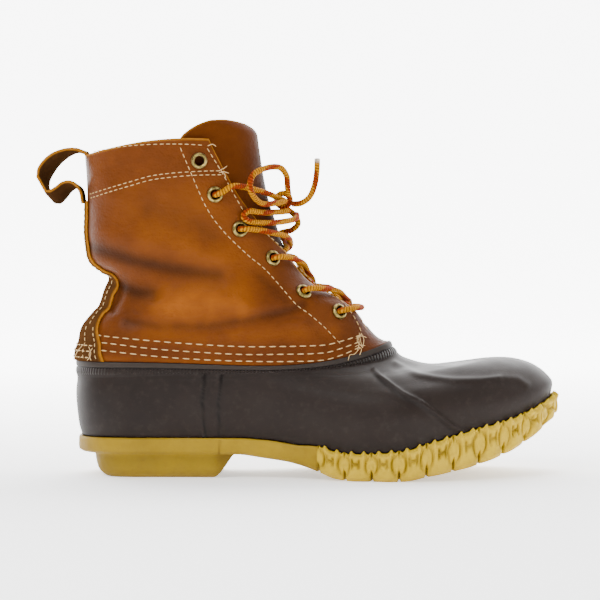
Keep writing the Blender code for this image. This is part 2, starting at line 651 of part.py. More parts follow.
# The pull loop's path beyond the back of the collar: shares of LOOP_REACH outwards and LOOP_RISE
# upwards from its lower end, and how far the strap leans, from 0 to 1
LOOP_PATH = (
    (0.000, 0.000, 0.00), (0.020, 0.104, 0.00), (0.040, 0.203, 0.00), (0.120, 0.310, 0.15),
    (0.260, 0.364, 0.40), (0.420, 0.319, 0.65), (0.570, 0.203, 0.85), (0.730, 0.117, 1.00),
    (0.880, 0.158, 1.00), (0.980, 0.310, 1.00), (1.000, 0.498, 1.00), (0.900, 0.677, 0.90),
    (0.680, 0.875, 0.65), (0.400, 1.000, 0.35), (0.160, 1.036, 0.12), (-0.031, 0.994, 0.00),
    (-0.200, 0.984, 0.00), (-0.280, 0.890, 0.00), (-0.290, 0.670, 0.00),
)
LOOP_LEAN_X = 0.0032
LOOP_LEAN_Z = 0.0045


def build_pull_loop(finish):
    """A leather strap looped out from the back of the collar, its upper end sewn inside."""
    foot = surface(0.0, LEVEL["shaft_mid"], STRIP_CLEARANCE + LOOP_WALL / 2) + Vector((0.0, 0.0, GAP))
    centre, lean = [], []
    for out, up, leaning in LOOP_PATH:
        centre.append(Vector((foot.x - out * LOOP_REACH, 0.0, foot.z + up * LOOP_RISE)))
        lean.append(leaning)
    layers = []
    last = len(centre) - 1
    for i, point in enumerate(centre):
        tangent = (centre[min(i + 1, last)] - centre[max(i - 1, 0)]).normalized()
        away = Vector((-tangent.z, 0.0, tangent.x))
        across = Vector((LOOP_LEAN_X * lean[i], LOOP_WIDTH / 2, -LOOP_LEAN_Z * lean[i]))
        across = across.normalized() * LOOP_WIDTH / 2
        layers.append([
            point - across + away * LOOP_WALL / 2,
            point + across + away * LOOP_WALL / 2,
            point + across - away * LOOP_WALL / 2,
            point - across - away * LOOP_WALL / 2,
        ])
    points = [corner for layer in layers for corner in layer]
    faces = [[0, 1, 2, 3][::-1], [4 * last + k for k in range(4)]]
    for i in range(last):
        for k in range(4):
            n = (k + 1) % 4
            faces.append([4 * i + k, 4 * i + n, 4 * i + 4 + n, 4 * i + 4 + k])
    made = mesh_object("pull_loop", points, faces, finish)
    shape = bmesh.new()
    shape.from_mesh(made.data)
    bmesh.ops.recalc_face_normals(shape, faces=shape.faces)
    shape.to_mesh(made.data)
    shape.free()
    return made


def build_eyelets(finish):
    """Rolled eyelets through the leather, with a domed rim outside and a flat one inside."""
    barrel = EYELET_HOLE + 1.5 * GAP
    back = -LEATHER_WALL - EYELET_SEAT
    profile = (
        (EYELET_HOLE, EYELET_RIM), (0.8 * EYELET_RADIUS, EYELET_RIM),
        (EYELET_RADIUS, EYELET_SEAT), (barrel, EYELET_SEAT),
        (barrel, back), (0.9 * EYELET_RADIUS, back), (EYELET_HOLE, back - GAP),
    )
    sides = 8
    points = []
    for radius, height in profile:
        for i in range(sides):
            angle = 2.0 * math.pi * i / sides
            points.append((radius * math.cos(angle), radius * math.sin(angle), height))
    faces = []
    for k in range(len(profile)):
        n = (k + 1) % len(profile)
        for i in range(sides):
            j = (i + 1) % sides
            faces.append([k * sides + j, k * sides + i, n * sides + i, n * sides + j])
    mesh = bpy.data.meshes.new("eyelet")
    mesh.from_pydata(points, [], faces)
    mesh.materials.append(finish)
    mesh.shade_smooth()
    for name, turn, level in eyelet_places():
        eyelet = bpy.data.objects.new(name, mesh)
        eyelet.location = surface(turn, level)
        eyelet.rotation_mode = "QUATERNION"
        eyelet.rotation_quaternion = outward(turn, level).to_track_quat("Z", "Y")
        bpy.context.collection.objects.link(eyelet)


def smooth_path(knots, spacing):
    """Points at even distances along a smooth curve through knots."""
    walk = []
    last = len(knots) - 1
    for k in range(last):
        here, after = knots[k], knots[k + 1]
        start = (after - knots[max(k - 1, 0)]) / 2
        end = (knots[min(k + 2, last)] - here) / 2
        for i in range(12):
            t = i / 12
            walk.append(
                here * (2 * t**3 - 3 * t**2 + 1) + start * (t**3 - 2 * t**2 + t)
                + after * (3 * t**2 - 2 * t**3) + end * (t**3 - t**2)
            )
    walk.append(knots[last])
    along = [0.0]
    for a, b in zip(walk, walk[1:]):
        along.append(along[-1] + (b - a).length)
    count = max(2, round(along[-1] / spacing))
    marks = [along[-1] * i / count for i in range(count + 1)]
    axes = [np.interp(marks, along, [point[axis] for point in walk]) for axis in range(3)]
    return [Vector(place) for place in zip(*axes)]


def tube(name, finish, path):
    """A closed tube of the lace's thickness along a path."""
    last = len(path) - 1
    tangents = [(path[min(i + 1, last)] - path[max(i - 1, 0)]).normalized() for i in range(last + 1)]
    away = tangents[0].orthogonal().normalized()
    points, faces = [], []
    for i, point in enumerate(path):
        if i:
            away = tangents[i - 1].rotation_difference(tangents[i]) @ away
        beside = tangents[i].cross(away)
        for k in range(LACE_SIDES):
            angle = 2.0 * math.pi * k / LACE_SIDES
            points.append(point + (away * math.cos(angle) + beside * math.sin(angle)) * LACE_RADIUS)
    for i in range(last):
        low, high = i * LACE_SIDES, (i + 1) * LACE_SIDES
        for k in range(LACE_SIDES):
            n = (k + 1) % LACE_SIDES
            faces.append([low + k, low + n, high + n, high + k])
    faces.append(list(reversed(range(LACE_SIDES))))
    faces.append([last * LACE_SIDES + k for k in range(LACE_SIDES)])
    return mesh_object(name, points, faces, finish)


def crossing_arm(upper, lower, side):
    """One arm of a crossing, from over its upper eyelet to short of the other side's next eyelet."""
    level, inset = EYELETS[upper - 1]
    below = EYELETS[lower - 1][0]

    def place(turn_share, down, offset):
        at = level + (below - level) * down
        return surface(0.5 + side * turn_share * throat_gap(at), at, offset)

    lift = EYELET_RIM + LACE_RADIUS + 3 * GAP
    return [
        surface(0.5 + side * (throat_gap(level) + inset), level, lift),
        place(1.05, 0.08, lift),
        place(0.50, 0.26, LACE_RADIUS),
        place(0.00, 0.45, CROSS_OFFSET),
        place(-0.60, 0.70, CROSS_OFFSET),
    ]


def build_laces(finish):
    """The lace's bars and crossings over the throat, each one solid and clear of what it spans."""
    for upper, lower in ((3, 4), (4, 5), (5, 6)):
        arm = tube(f"lace_cross_{upper}", finish, smooth_path(crossing_arm(upper, lower, -1), LACE_STEP))
        other = tube("crossing_arm", finish, smooth_path(crossing_arm(upper, lower, 1), LACE_STEP))
        other.hide_render = True
        other.display_type = "WIRE"
        joined = arm.modifiers.new("Other arm", "BOOLEAN")
        joined.operation = "UNION"
        joined.object = other
    lift = EYELET_RIM + LACE_RADIUS + 3 * GAP
    level, inset = EYELETS[5]
    gap = throat_gap(level)
    low = [(-gap - inset, lift), (-gap, lift), (0.0, 1.5 * LACE_RADIUS)]
    low += [(-turn, offset) for turn, offset in reversed(low[:2])]
    tube("lace_bar_low", finish, smooth_path([surface(0.5 + turn, level, up) for turn, up in low], 0.0060))
    level, inset = EYELETS[1]
    start = surface(0.5 - throat_gap(level) - inset, level, lift - GAP)
    half = [start, *(Vector(point) for point in TOP_BAR)]
    other = [Vector((point.x, -point.y, point.z)) for point in reversed(half)]
    knot = Vector(KNOT_PLACE)
    tube("lace_bar_top", finish, smooth_path([*half, knot, *other], 0.75 * LACE_STEP))


def cord(name, finish, knots, spacing):
    """A free cord of the lace's thickness along a smooth curve through knots."""
    curve = bpy.data.curves.new(name, "CURVE")
    curve.dimensions = "3D"
    curve.bevel_depth = LACE_RADIUS
    curve.bevel_resolution = 2
    curve.use_fill_caps = True
    curve.materials.append(finish)
    path = smooth_path(knots, spacing)
    spline = curve.splines.new("POLY")
    spline.points.add(len(path) - 1)
    for point, place in zip(spline.points, path):
        point.co = (*place, 1.0)
    bpy.context.collection.objects.link(bpy.data.objects.new(name, curve))


def build_bow(finish):
    """The knot around the top bar, its two loops and its two ends, as free cords."""
    knot = Vector(KNOT_PLACE)
    radius = 2 * LACE_RADIUS + 2 * GAP
    steps = 12
    wraps = []
    for i in range(int(KNOT_TURNS * steps) + 1):
        angle = 2.0 * math.pi * i / steps
        along = (i / (KNOT_TURNS * steps) - 0.5) * KNOT_TURNS * (2 * LACE_RADIUS + 2 * GAP)
        wraps.append(knot + Vector((radius * math.cos(angle), along, radius * math.sin(angle))))
    cord("lace_knot", finish, wraps, 0.0030)
    for name, places, spacing in (
        ("lace_loop_a", LOOP_A, 0.0080), ("lace_loop_b", LOOP_B, 0.0055),
        ("lace_end_a", END_A, 0.0080), ("lace_end_b", END_B, 0.0060),
    ):
        cord(name, finish, [knot + Vector(place) for place in places], spacing)


def main():
    for thing in list(bpy.data.objects):
        bpy.data.objects.remove(thing, do_unlink=True)
    tan_rubber = material("tan_rubber", (0.42, 0.27, 0.05), 0.60)
    brown_rubber = material("brown_rubber", (0.045, 0.033, 0.027), 0.45)
    leather = material("tan_leather", (0.36, 0.12, 0.025), 0.50)
    dark_leather = material("dark_leather", (0.19, 0.055, 0.014), 0.50)
    lining = material("insole_board", (0.30, 0.22, 0.13), 0.90)
    brass = material("aged_brass", (0.32, 0.26, 0.12), 0.35, 1.0)
    build_outsole(tan_rubber)
    build_heel(tan_rubber)
    build_insole(lining)
    build_shell(brown_rubber)
    build_leather(leather)
    build_tongue(dark_leather)
    build_backstay(leather)
    build_pull_loop(dark_leather)
    build_eyelets(brass)
    lace = material("gold_lace", (0.55, 0.32, 0.03), 0.80)
    build_laces(lace)
    build_bow(lace)


main()
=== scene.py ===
"""The look of the duck boot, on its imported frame: rubber, leather, stitching, laces and studio."""

import math

import bpy
import numpy as np
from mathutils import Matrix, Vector


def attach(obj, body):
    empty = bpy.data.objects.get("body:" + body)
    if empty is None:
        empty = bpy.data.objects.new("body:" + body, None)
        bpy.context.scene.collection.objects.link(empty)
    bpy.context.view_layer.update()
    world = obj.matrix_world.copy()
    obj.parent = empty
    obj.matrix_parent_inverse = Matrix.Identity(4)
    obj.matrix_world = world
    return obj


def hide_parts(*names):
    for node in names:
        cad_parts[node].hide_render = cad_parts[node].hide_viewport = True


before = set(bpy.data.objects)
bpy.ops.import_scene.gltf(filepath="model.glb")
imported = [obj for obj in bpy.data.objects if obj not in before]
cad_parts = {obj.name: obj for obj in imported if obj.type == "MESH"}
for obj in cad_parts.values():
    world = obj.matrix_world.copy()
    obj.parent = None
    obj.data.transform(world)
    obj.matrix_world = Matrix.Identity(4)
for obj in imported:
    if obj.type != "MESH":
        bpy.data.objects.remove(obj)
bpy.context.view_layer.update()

MM = 0.001

# Driving sizes
LENGTH = 0.301
BALL_WIDTH = 0.104
HEEL_WIDTH = 0.073
SHAFT_WIDTH = 0.080
SEAM_HEIGHT = 0.071
TOE_HEIGHT = 0.073
COLLAR_HEIGHT = 0.198
HEEL_HEIGHT = 0.0150
TOE_SPRING = 0.0360
SEAT_THICKNESS = 0.0105
TREAD_THICKNESS = 0.0170
RUBBER_WALL = 0.0028
FLANGE_WALL = 0.0016
FLANGE_CLEARANCE = 0.0007
LIP_STEP = 0.0007
LEATHER_WALL = 0.0022
TONGUE_WALL = 0.0020
TONGUE_CLEARANCE = 0.0021
STRIP_WALL = 0.0017
STRIP_CLEARANCE = 0.0012
GAP = 0.0003
SOLE_GAP = 0.0006

# Outsole and heel block
SOLE_MARGIN = 0.0016
LOBE_PITCH = 0.0165
LOBES_A_SIDE = 10
LOBE_BULGE = 0.0024
LOBE_RISE = 0.0020
NOTCH_DEPTH = 0.0022
LUG_WIDTH = 0.0120
GROOVE_WIDTH = 0.0028
GROOVE_DEPTH = 0.0024
HEEL_INSET = 0.0045
HEEL_BACK_INSET = 0.0100
HEEL_EDGE = 0.0045
BREAST_PLACE = 0.327
BREAST_SLOPE = 0.0100

# Eyelets, pull loop, laces and threads
EYELET_RADIUS = 0.0050
EYELET_HOLE = 0.0028
EYELET_RIM = 0.0018
EYELET_SEAT = 0.0011
LOOP_WIDTH = 0.0170
LOOP_REACH = 0.0256
LOOP_RISE = 0.0318
LOOP_WALL = 0.0024
LACE_RADIUS = 0.0018
THREAD_RADIUS = 0.00022

# Bands of the rubber under its top edge, as distances from that edge: plain, then knurled, with a lip
RIM_PLAIN = 0.0036
RIM_LOW = 0.0085
LIP_LOW = 0.0105
KNURL_PITCH = 0.0021

# Steps of the meshes
SHELL_TURNS = 600
LEATHER_SIDE, LEATHER_FRONT = 130, 10
LOOP_SIDES = 28
LOBE_STEPS, PLAIN_STEPS, WALL_STEPS = 44, 150, 46
HEEL_STEPS = 70
EYELET_SIDES = 32
LACE_ROWS = 90
THREAD_ROWS = 14
STITCH_SIDES = 6

# Stations along the foot, as shares of LENGTH from the back of the heel
HEEL_STATION = 0.115
WAIST_STATION = 0.365
BALL_STATION = 0.680
ROUND_POWER = 2.15

# The heel's flat face is centred at the origin, this far from the back of the boot
HEEL_CENTRE = 0.173 * LENGTH

# Sections of the boot's outer surface, from the sole's edge up. x is a share of LENGTH from the back.
# z is a share: at the back from the sole's edge to SEAM_HEIGHT, at the front to TOE_HEIGHT, and in the
# shaft from the seam to COLLAR_HEIGHT. rise bends a section up near its front, sag lowers its fore part
# and arch lifts its middle, as shares of SEAM_HEIGHT. heel and waist are shares of HEEL_WIDTH in the
# shell and SHAFT_WIDTH in the shaft, ball of BALL_WIDTH. The round columns are how far the back and
# front curves reach and swing is how much the last's curve shows. The last column is dip in the shell,
# which follows the sole's own curve, and gap in the shaft, half the throat's opening in turns.
SECTION_COLUMNS = (
    "back_x", "back_z", "front_x", "front_z", "rise", "sag", "arch",
    "heel", "waist", "ball", "heel_round", "toe_round", "swing", "dip", "gap",
)
SHELL_SECTIONS = {
    "feather": (0.01, 0.0, 0.984, 0.0, 1.0, 0.0, 0.0, 0.904, 0.904, 0.962, 0.126, 0.332, 1.0, 1.0),
    "low_wall": (0.004, 0.143, 0.988, 0.266, 1.0, 0.0, 0.0, 0.973, 0.986, 0.99, 0.126, 0.332, 1.0, 0.83),
    "mid_wall": (0.0, 0.341, 0.981, 0.464, 1.0, 0.0, 0.0, 1.0, 1.027, 1.0, 0.126, 0.332, 1.0, 0.66),
    "high_wall": (-0.002, 0.495, 0.963, 0.722, 1.0, 0.057, 0.0, 1.008, 1.041, 0.971, 0.126, 0.332, 1.0, 0.4),
    "toe_brow": (-0.002, 0.604, 0.937, 0.917, 1.0, 0.09, 0.0, 1.008, 1.041, 0.913, 0.126, 0.332, 0.95, 0.25),
    "toe_top": (-0.001, 0.681, 0.902, 1.0, 1.1, 0.111, 0.0, 1.003, 1.036, 0.837, 0.126, 0.332, 0.9, 0.1),
    "toe_back": (0.0, 0.736, 0.857, 0.96, 1.2, 0.093, 0.0, 0.995, 1.03, 0.76, 0.126, 0.325, 0.8, 0.0),
    "toe_hollow": (0.0, 0.787, 0.797, 0.829, 1.5, 0.036, 0.0, 0.986, 1.025, 0.692, 0.126, 0.31, 0.7, 0.0),
    "vamp_hollow": (0.0, 0.831, 0.731, 0.806, 2.5, 0.012, 0.004, 0.978, 1.019, 0.635, 0.126, 0.3, 0.6, 0.0),
    "vamp_rise": (0.001, 0.879, 0.681, 0.968, 4.0, 0.016, 0.004, 0.97, 1.014, 0.596, 0.126, 0.28, 0.5, 0.0),
    "lip": (0.001, 0.934, 0.657, 1.167, 5.0, 0.045, 0.01, 0.964, 1.008, 0.577, 0.126, 0.265, 0.45, 0.0),
    "seam": (0.001, 1.0, 0.646, 1.377, 5.0, 0.057, 0.014, 0.959, 1.0, 0.558, 0.126, 0.25, 0.4, 0.0),
}
SHAFT_SECTIONS = {
    "stitch_low": (0.001, 0.04, 0.635, 0.009, 5.0, 0.057, 0.014, 0.875, 0.912, 0.558, 0.126, 0.25, 0.35, 0.0),
    "stitch_high": (0.008, 0.086, 0.621, 0.03, 4.5, 0.043, 0.01, 0.875, 0.92, 0.558, 0.129, 0.255, 0.3, 0.0),
    "throat": (0.015, 0.156, 0.605, 0.075, 3.5, 0.029, 0.0, 0.87, 0.932, 0.57, 0.133, 0.26, 0.25, 0.03),
    "heel_bulge": (0.036, 0.221, 0.594, 0.13, 2.5, 0.014, 0.0, 0.862, 0.945, 0.6, 0.138, 0.255, 0.15, 0.033),
    "fold_low": (0.05, 0.258, 0.571, 0.204, 1.6, 0.0, 0.0, 0.85, 0.95, 0.64, 0.145, 0.25, 0.1, 0.043),
    "fold_mid": (0.06, 0.328, 0.532, 0.264, 1.2, 0.0, 0.0, 0.84, 0.95, 0.68, 0.152, 0.235, 0.05, 0.049),
    "fold_deep": (0.067, 0.402, 0.492, 0.329, 1.0, 0.0, 0.0, 0.838, 0.94, 0.7, 0.16, 0.219, 0.0, 0.052),
    "fold_high": (0.053, 0.441, 0.465, 0.411, 1.0, 0.0, 0.0, 0.85, 0.94, 0.7, 0.165, 0.214, 0.0, 0.057),
    "fold_brow": (0.03, 0.484, 0.449, 0.489, 1.0, 0.0, 0.0, 0.875, 0.95, 0.7, 0.17, 0.21, 0.0, 0.066),
    "ankle": (0.018, 0.551, 0.436, 0.558, 1.0, 0.0, 0.0, 0.908, 0.962, 0.7, 0.176, 0.205, 0.0, 0.088),
    "shaft_low": (0.021, 0.641, 0.424, 0.662, 1.0, 0.0, 0.02, 0.945, 0.975, 0.7, 0.182, 0.2, 0.0, 0.115),
    "shaft_mid": (0.021, 0.766, 0.41, 0.775, 1.0, 0.0, 0.05, 0.97, 0.988, 0.7, 0.186, 0.195, 0.0, 0.142),
    "band": (0.02, 0.89, 0.399, 0.913, 1.0, 0.0, 0.08, 0.988, 0.995, 0.7, 0.187, 0.19, 0.0, 0.166),
    "collar": (0.016, 1.0, 0.391, 1.052, 1.0, 0.0, 0.095, 1.0, 1.0, 0.7, 0.187, 0.186, 0.0, 0.185),
    "above": (0.015, 1.109, 0.384, 1.143, 1.0, 0.0, 0.08, 1.0, 1.0, 0.7, 0.187, 0.184, 0.0, 0.19),
    "tongue_top": (0.015, 1.203, 0.358, 1.217, 1.0, 0.0, 0.05, 1.0, 1.0, 0.7, 0.187, 0.18, 0.0, 0.2),
}

# The sole's underside: share of LENGTH, then shares of HEEL_HEIGHT and of TOE_SPRING
SOLE_UNDERSIDE = (
    (0.0, 1.0, 0.0), (0.335, 1.0, 0.0), (0.385, 0.87, 0.0), (0.44, 0.71, 0.0), (0.475, 0.52, 0.0),
    (0.505, 0.3, 0.0), (0.535, 0.08, 0.0), (0.565, 0.0, 0.0), (0.66, 0.0, 0.0), (0.725, 0.0, 0.09),
    (0.79, 0.0, 0.2), (0.848, 0.0, 0.34), (0.903, 0.0, 0.53), (0.95, 0.0, 0.77), (1.0, 0.0, 1.06),
)
# The sole's thickness at its edge: share of LENGTH, then shares of SEAT_THICKNESS and TREAD_THICKNESS
SOLE_THICKNESS = (
    (0.0, 0.95, 0.0), (0.1, 1.0, 0.0), (0.33, 1.0, 0.0), (0.41, 1.13, 0.0), (0.47, 0.0, 0.78),
    (0.52, 0.0, 0.98), (0.6, 0.0, 1.0), (0.66, 0.0, 1.08), (0.725, 0.0, 1.2), (0.81, 0.0, 1.3),
    (0.87, 0.0, 1.2), (0.94, 0.0, 0.98), (1.0, 0.0, 0.72),
)
# How far the last's middle line lies to the medial side: share of LENGTH, then of BALL_WIDTH
LAST_CURVE = (
    (0.0, 0.0), (0.18, 0.0), (0.42, -0.02), (0.68, -0.012), (0.86, 0.035), (1.0, 0.085),
)
# How much narrower the medial waist is, as a share of HEEL_WIDTH
ARCH_IN = 0.065
# Eyelets from the collar down: level, and how far from the throat's edge, in turns
EYELETS = (
    (24.15, 0.038), (23.0, 0.045), (21.59, 0.05), (19.61, 0.049), (17.19, 0.062), (15.56, 0.05),
)

# The lace at a crossing, measured from the boot's surface over the throat
CROSS_OFFSET = -0.0010
# The knot's place in front of the tongue, its wraps, and the top bar's bends on the lateral side
KNOT_PLACE = (0.0765, 0.0, 0.1705)
KNOT_TURNS = 2.0
TOP_BAR = ((0.0480, -0.0375, 0.1790), (0.0640, -0.0215, 0.1755), (0.0740, -0.0080, 0.1715))
# The bow's loops and ends, in mm from the knot's place
BOW = {
    "lace_loop_a": ((2.0, -6.8, -0.5), (-4.5, -17.0, -2.0), (-13.5, -28.5, -2.0), (-19.5, -38.0, 6.0),
        (-18.0, -37.0, 15.0), (-10.0, -30.0, 19.5), (-2.0, -22.0, 20.0), (2.2, -18.0, 15.0),
        (2.8, -15.0, 8.0), (3.5, -12.5, 2.5)),
    "lace_loop_b": ((4.0, -7.0, -6.8), (-3.5, -15.0, -7.5), (-13.0, -25.5, -7.8), (-20.2, -32.5, -6.8),
        (-23.8, -35.0, -9.8), (-20.5, -33.5, -13.2), (-12.0, -26.0, -14.2), (-3.0, -17.0, -13.8),
        (5.0, -8.0, -12.5), (8.2, -1.0, -11.0), (8.0, 5.0, -8.5)),
    "lace_end_a": ((5.4, -2.4, -2.4), (10.8, -4.5, -2.0), (16.0, -6.0, 1.5), (19.2, -6.0, 8.0),
        (20.8, -5.0, 16.5), (21.2, -4.0, 26.0)),
    "lace_end_b": ((-3.0, 7.8, -3.0), (3.0, 7.4, -6.2), (7.5, 6.2, -10.0), (9.0, 6.0, -15.0),
        (5.0, 7.0, -18.8), (0.0, 9.0, -20.0), (-3.5, 12.5, -21.2)),
}

# The pull loop's path beyond the back of the collar: shares of LOOP_REACH outwards and LOOP_RISE
# upwards from its lower end, and how far the strap leans, from 0 to 1
LOOP_PATH = (
    (0.0, 0.0, 0.0), (0.02, 0.104, 0.0), (0.04, 0.203, 0.0), (0.12, 0.31, 0.15), (0.26, 0.364, 0.4),
    (0.42, 0.319, 0.65), (0.57, 0.203, 0.85), (0.73, 0.117, 1.0), (0.88, 0.158, 1.0), (0.98, 0.31, 1.0),
    (1.0, 0.498, 1.0), (0.9, 0.677, 0.9), (0.68, 0.875, 0.65), (0.4, 1.0, 0.35), (0.16, 1.036, 0.12),
    (-0.031, 0.994, 0.0), (-0.2, 0.984, 0.0), (-0.28, 0.89, 0.0), (-0.29, 0.67, 0.0),
)
LOOP_LEAN_X = 0.0032
LOOP_LEAN_Z = 0.0045

# The heel block's loops from the floor up: share of HEEL_HEIGHT, share of HEEL_EDGE by which it is
# drawn in, and the wear of its back corner in mm
HEEL_LOOPS = (
    (0.0, 1.0, 15.0), (0.04, 0.62, 11.5), (0.12, 0.32, 8.4), (0.22, 0.12, 5.8), (0.36, 0.0, 3.4),
    (0.5, 0.0, 1.9), (0.7, 0.0, 0.6), (0.88, 0.0, 0.0), (0.97, -0.15, 0.0), (1.0, -0.3, 0.0),
)

# The places of marks below are given as (across, down) in a side view, VIEW_STEPS square
VIEW_FAR = 1.5
VIEW_HEIGHT = 0.163
VIEW_MIDDLE = 0.1519
VIEW_STEP = 0.0007
VIEW_STEPS = 600
VIEW_CENTRE = VIEW_STEPS / 2

# Creases and swells of the leather: line, width, height in mm. The creases are also darkened with painted
# shade
FOLDS = (
    (((94, 331), (110, 336), (132, 343), (165, 350), (208, 356)), 9.0, -1.9),
    (((104, 318), (140, 326), (185, 336), (222, 346)), 12.0, 0.9),
    (((122, 366), (134, 371), (150, 373)), 8.0, -2.0),
    (((112, 357), (119, 367), (120, 375), (114, 386)), 4.5, -1.3),
    (((128, 398), (160, 402), (203, 401), (240, 395), (266, 389), (284, 383)), 5.5, -1.3),
    (((150, 384), (176, 376), (205, 377), (233, 383)), 9.0, 1.3),
    (((258, 393), (270, 389), (282, 388)), 2.2, -0.6),
    (((262, 398), (273, 395), (283, 394)), 2.0, -0.4),
    (((150, 300), (176, 305), (206, 322)), 16.0, -0.8),
    (((104, 270), (128, 296), (136, 318)), 12.0, 0.6),
    (((238, 352), (256, 366), (270, 380)), 6.0, -0.7),
    (((290, 398), (300, 410), (304, 420)), 5.0, -0.5),
)
# Lighter places of the leather, painted highlights on its swells and rubbed places: line, width, share
HIGHLIGHTS_AND_WEAR = (
    (((84, 431), (120, 431), (200, 435), (262, 438)), 3.0, 0.3),
    (((165, 384), (190, 380), (225, 384)), 17, 0.62),
    (((150, 320), (190, 330), (235, 350)), 18, 0.25),
    (((130, 409), (200, 412), (310, 407)), 9, 0.2),
    (((140, 290), (200, 296)), 26, 0.15),
)
# Lines moulded on the rubber shell: line, width, height in mm. Those under FINE_RIDGE have a dark line of
# painted shade beside them
RIDGES = (
    (((195.8, 446), (192.6, 470.5), (195.8, 501)), 1.2, 1.3),
    (((199.4, 449), (196.2, 470.5), (199.4, 499)), 1.6, -0.6),
    (((211, 446), (207.2, 469.4), (208.3, 499)), 1.2, 1.1),
    (((347.9, 441.6), (352.9, 446.6), (372.8, 461.5), (389.4, 469.8), (401, 478), (417.5, 491.4),
     (426, 495.5)), 2.1, 1.25),
    (((389.4, 469.8), (401, 478), (417.5, 491.4)), 1.6, 0.9),
    (((426, 495.5), (438, 498)), 2.0, 0.6),
    (((366, 435), (386, 445), (402.6, 448.2), (419.2, 450), (442.4, 450), (458, 448.4)), 2.8, 0.95),
    (((462, 448), (475.6, 449), (484, 454)), 3.2, 0.6),
    (((350, 447), (372, 467), (390, 477), (410, 492)), 3.2, -0.35),
)
FINE_RIDGE = 1.4
SIDE_RIDGE = 3
# Rows of stitching, mirrored on the medial side: line, pitch, width in mm
STITCH_ROWS = (
    (((99, 409), (109, 411), (150, 415), (190, 418), (228, 420), (264, 420), (300, 419), (316, 416),
     (337, 409.5)), 0.0064, 0.74),
    (((97, 416), (109, 417), (150, 422), (190, 425), (228, 427), (264, 427), (300, 426), (316, 422.5),
     (337, 415)), 0.0064, 0.74),
    (((96, 423), (109, 424), (150, 428.5), (190, 431.5), (228, 433), (264, 433.5), (300, 432.5), (318, 428),
     (334, 421)), 0.0064, 0.74),
    (((94, 284), (110, 279), (128, 273.5), (147, 268), (165, 265.4), (183, 264), (198, 263.3), (210, 263.2)),
     0.0039, 0.52),
    (((94.5, 287.6), (110, 282.6), (128, 277.1), (147, 271.6), (165, 269), (183, 267.4), (198, 266.8),
     (213, 266.7)), 0.0039, 0.52),
    (((97, 246), (116, 242.5), (132, 240.6), (147, 239.6), (164, 239.2), (180, 239.4), (196, 240.4)), 0.0039,
     0.52),
    (((174.2, 241.5), (185.4, 268.1), (198.1, 296.2), (212.1, 315.8), (233.1, 336.9), (250, 350.9),
     (265.4, 367.7), (276.6, 380.4), (292.1, 393), (303.3, 402.8), (313, 413), (318, 418)), 0.0041, 0.54),
    (((198.1, 242.2), (212.1, 265.3), (226.1, 290.6), (237.3, 307.4), (257, 324.2), (271, 338.3),
     (290.7, 360.7), (310.3, 373.3), (321.5, 382.5), (331, 396), (336, 407)), 0.0041, 0.54),
)
# Bartack and loose thread ends: line, and how far in mm each stands off at its end
LOOSE_THREADS = (
    (((332.5, 411), (334, 417), (332, 424)), 0.6),
    (((334, 408), (335, 415), (336.5, 422)), 0.8),
    (((335.5, 408), (338, 414), (337, 421)), 0.6),
    (((331, 413), (336, 411), (340, 413)), 0.8),
    (((330.5, 420.5), (334, 419), (339, 420)), 0.7),
    (((336, 409), (332, 415), (337, 422)), 1.0),
    (((335, 421), (330, 427), (325.5, 428), (323.6, 433)), 1.4),
    (((333, 420), (336, 423), (334, 428)), 1.0),
    (((209, 263), (213, 261), (215.5, 259)), 1.4),
    (((209, 265), (213, 264), (217, 265.5)), 1.6),
    (((210, 262), (213.5, 266), (214.5, 269)), 1.2),
    (((90, 420), (86.5, 425), (84.5, 431)), 1.8),
    (((95, 421), (97.5, 427), (95.5, 432)), 1.8),
    (((98.5, 422), (96, 427), (98.5, 432)), 1.5),
    (((199, 241), (203, 239.5), (206, 241.5)), 1.2),
)


def held(value):
    return np.clip(value, 0, 1)


def bell(distance, width):
    return np.exp(-((distance / width) ** 2))


def hermite(t, low, start, high, end):
    """The cubic from low to high with the slopes start and end."""
    rest = high * (3 * t**2 - 2 * t**3)
    return low * (2 * t**3 - 3 * t**2 + 1) + start * (t**3 - 2 * t**2 + t) + rest + end * (t**3 - t**2)


def eased(knots, place):
    """Reads a smooth curve through knots of (place, value), level beyond both ends."""
    xs, ys = zip(*knots)
    last = len(xs) - 1
    if place <= xs[0]:
        return ys[0]
    if place >= xs[last]:
        return ys[last]

    def slope(i):
        if i in (0, last):
            return 0.0
        before = (ys[i] - ys[i - 1]) / (xs[i] - xs[i - 1])
        after = (ys[i + 1] - ys[i]) / (xs[i + 1] - xs[i])
        return 0.0 if before * after <= 0.0 else 2.0 * before * after / (before + after)

    k = max(i for i in range(last) if xs[i] <= place)
    span = xs[k + 1] - xs[k]
    return hermite((place - xs[k]) / span, ys[k], span * slope(k), ys[k + 1], span * slope(k + 1))


def lookup(knots):
    """The same smooth curve for whole arrays."""
    xs = np.linspace(knots[0][0], knots[-1][0], 600)
    ys = np.array([eased(knots, x) for x in xs])
    return lambda place: np.interp(place, xs, ys)


HEEL_FALL, TOE_RISE = (lookup([(row[0], row[i]) for row in SOLE_UNDERSIDE]) for i in (1, 2))
SEAT_SHARE, TREAD_SHARE = (lookup([(row[0], row[i]) for row in SOLE_THICKNESS]) for i in (1, 2))
CURVE = lookup(LAST_CURVE)


def underside(share):
    return HEEL_FALL(share) * HEEL_HEIGHT + TOE_RISE(share) * TOE_SPRING


def feather(share):
    return underside(share) + SEAT_SHARE(share) * SEAT_THICKNESS + TREAD_SHARE(share) * TREAD_THICKNESS


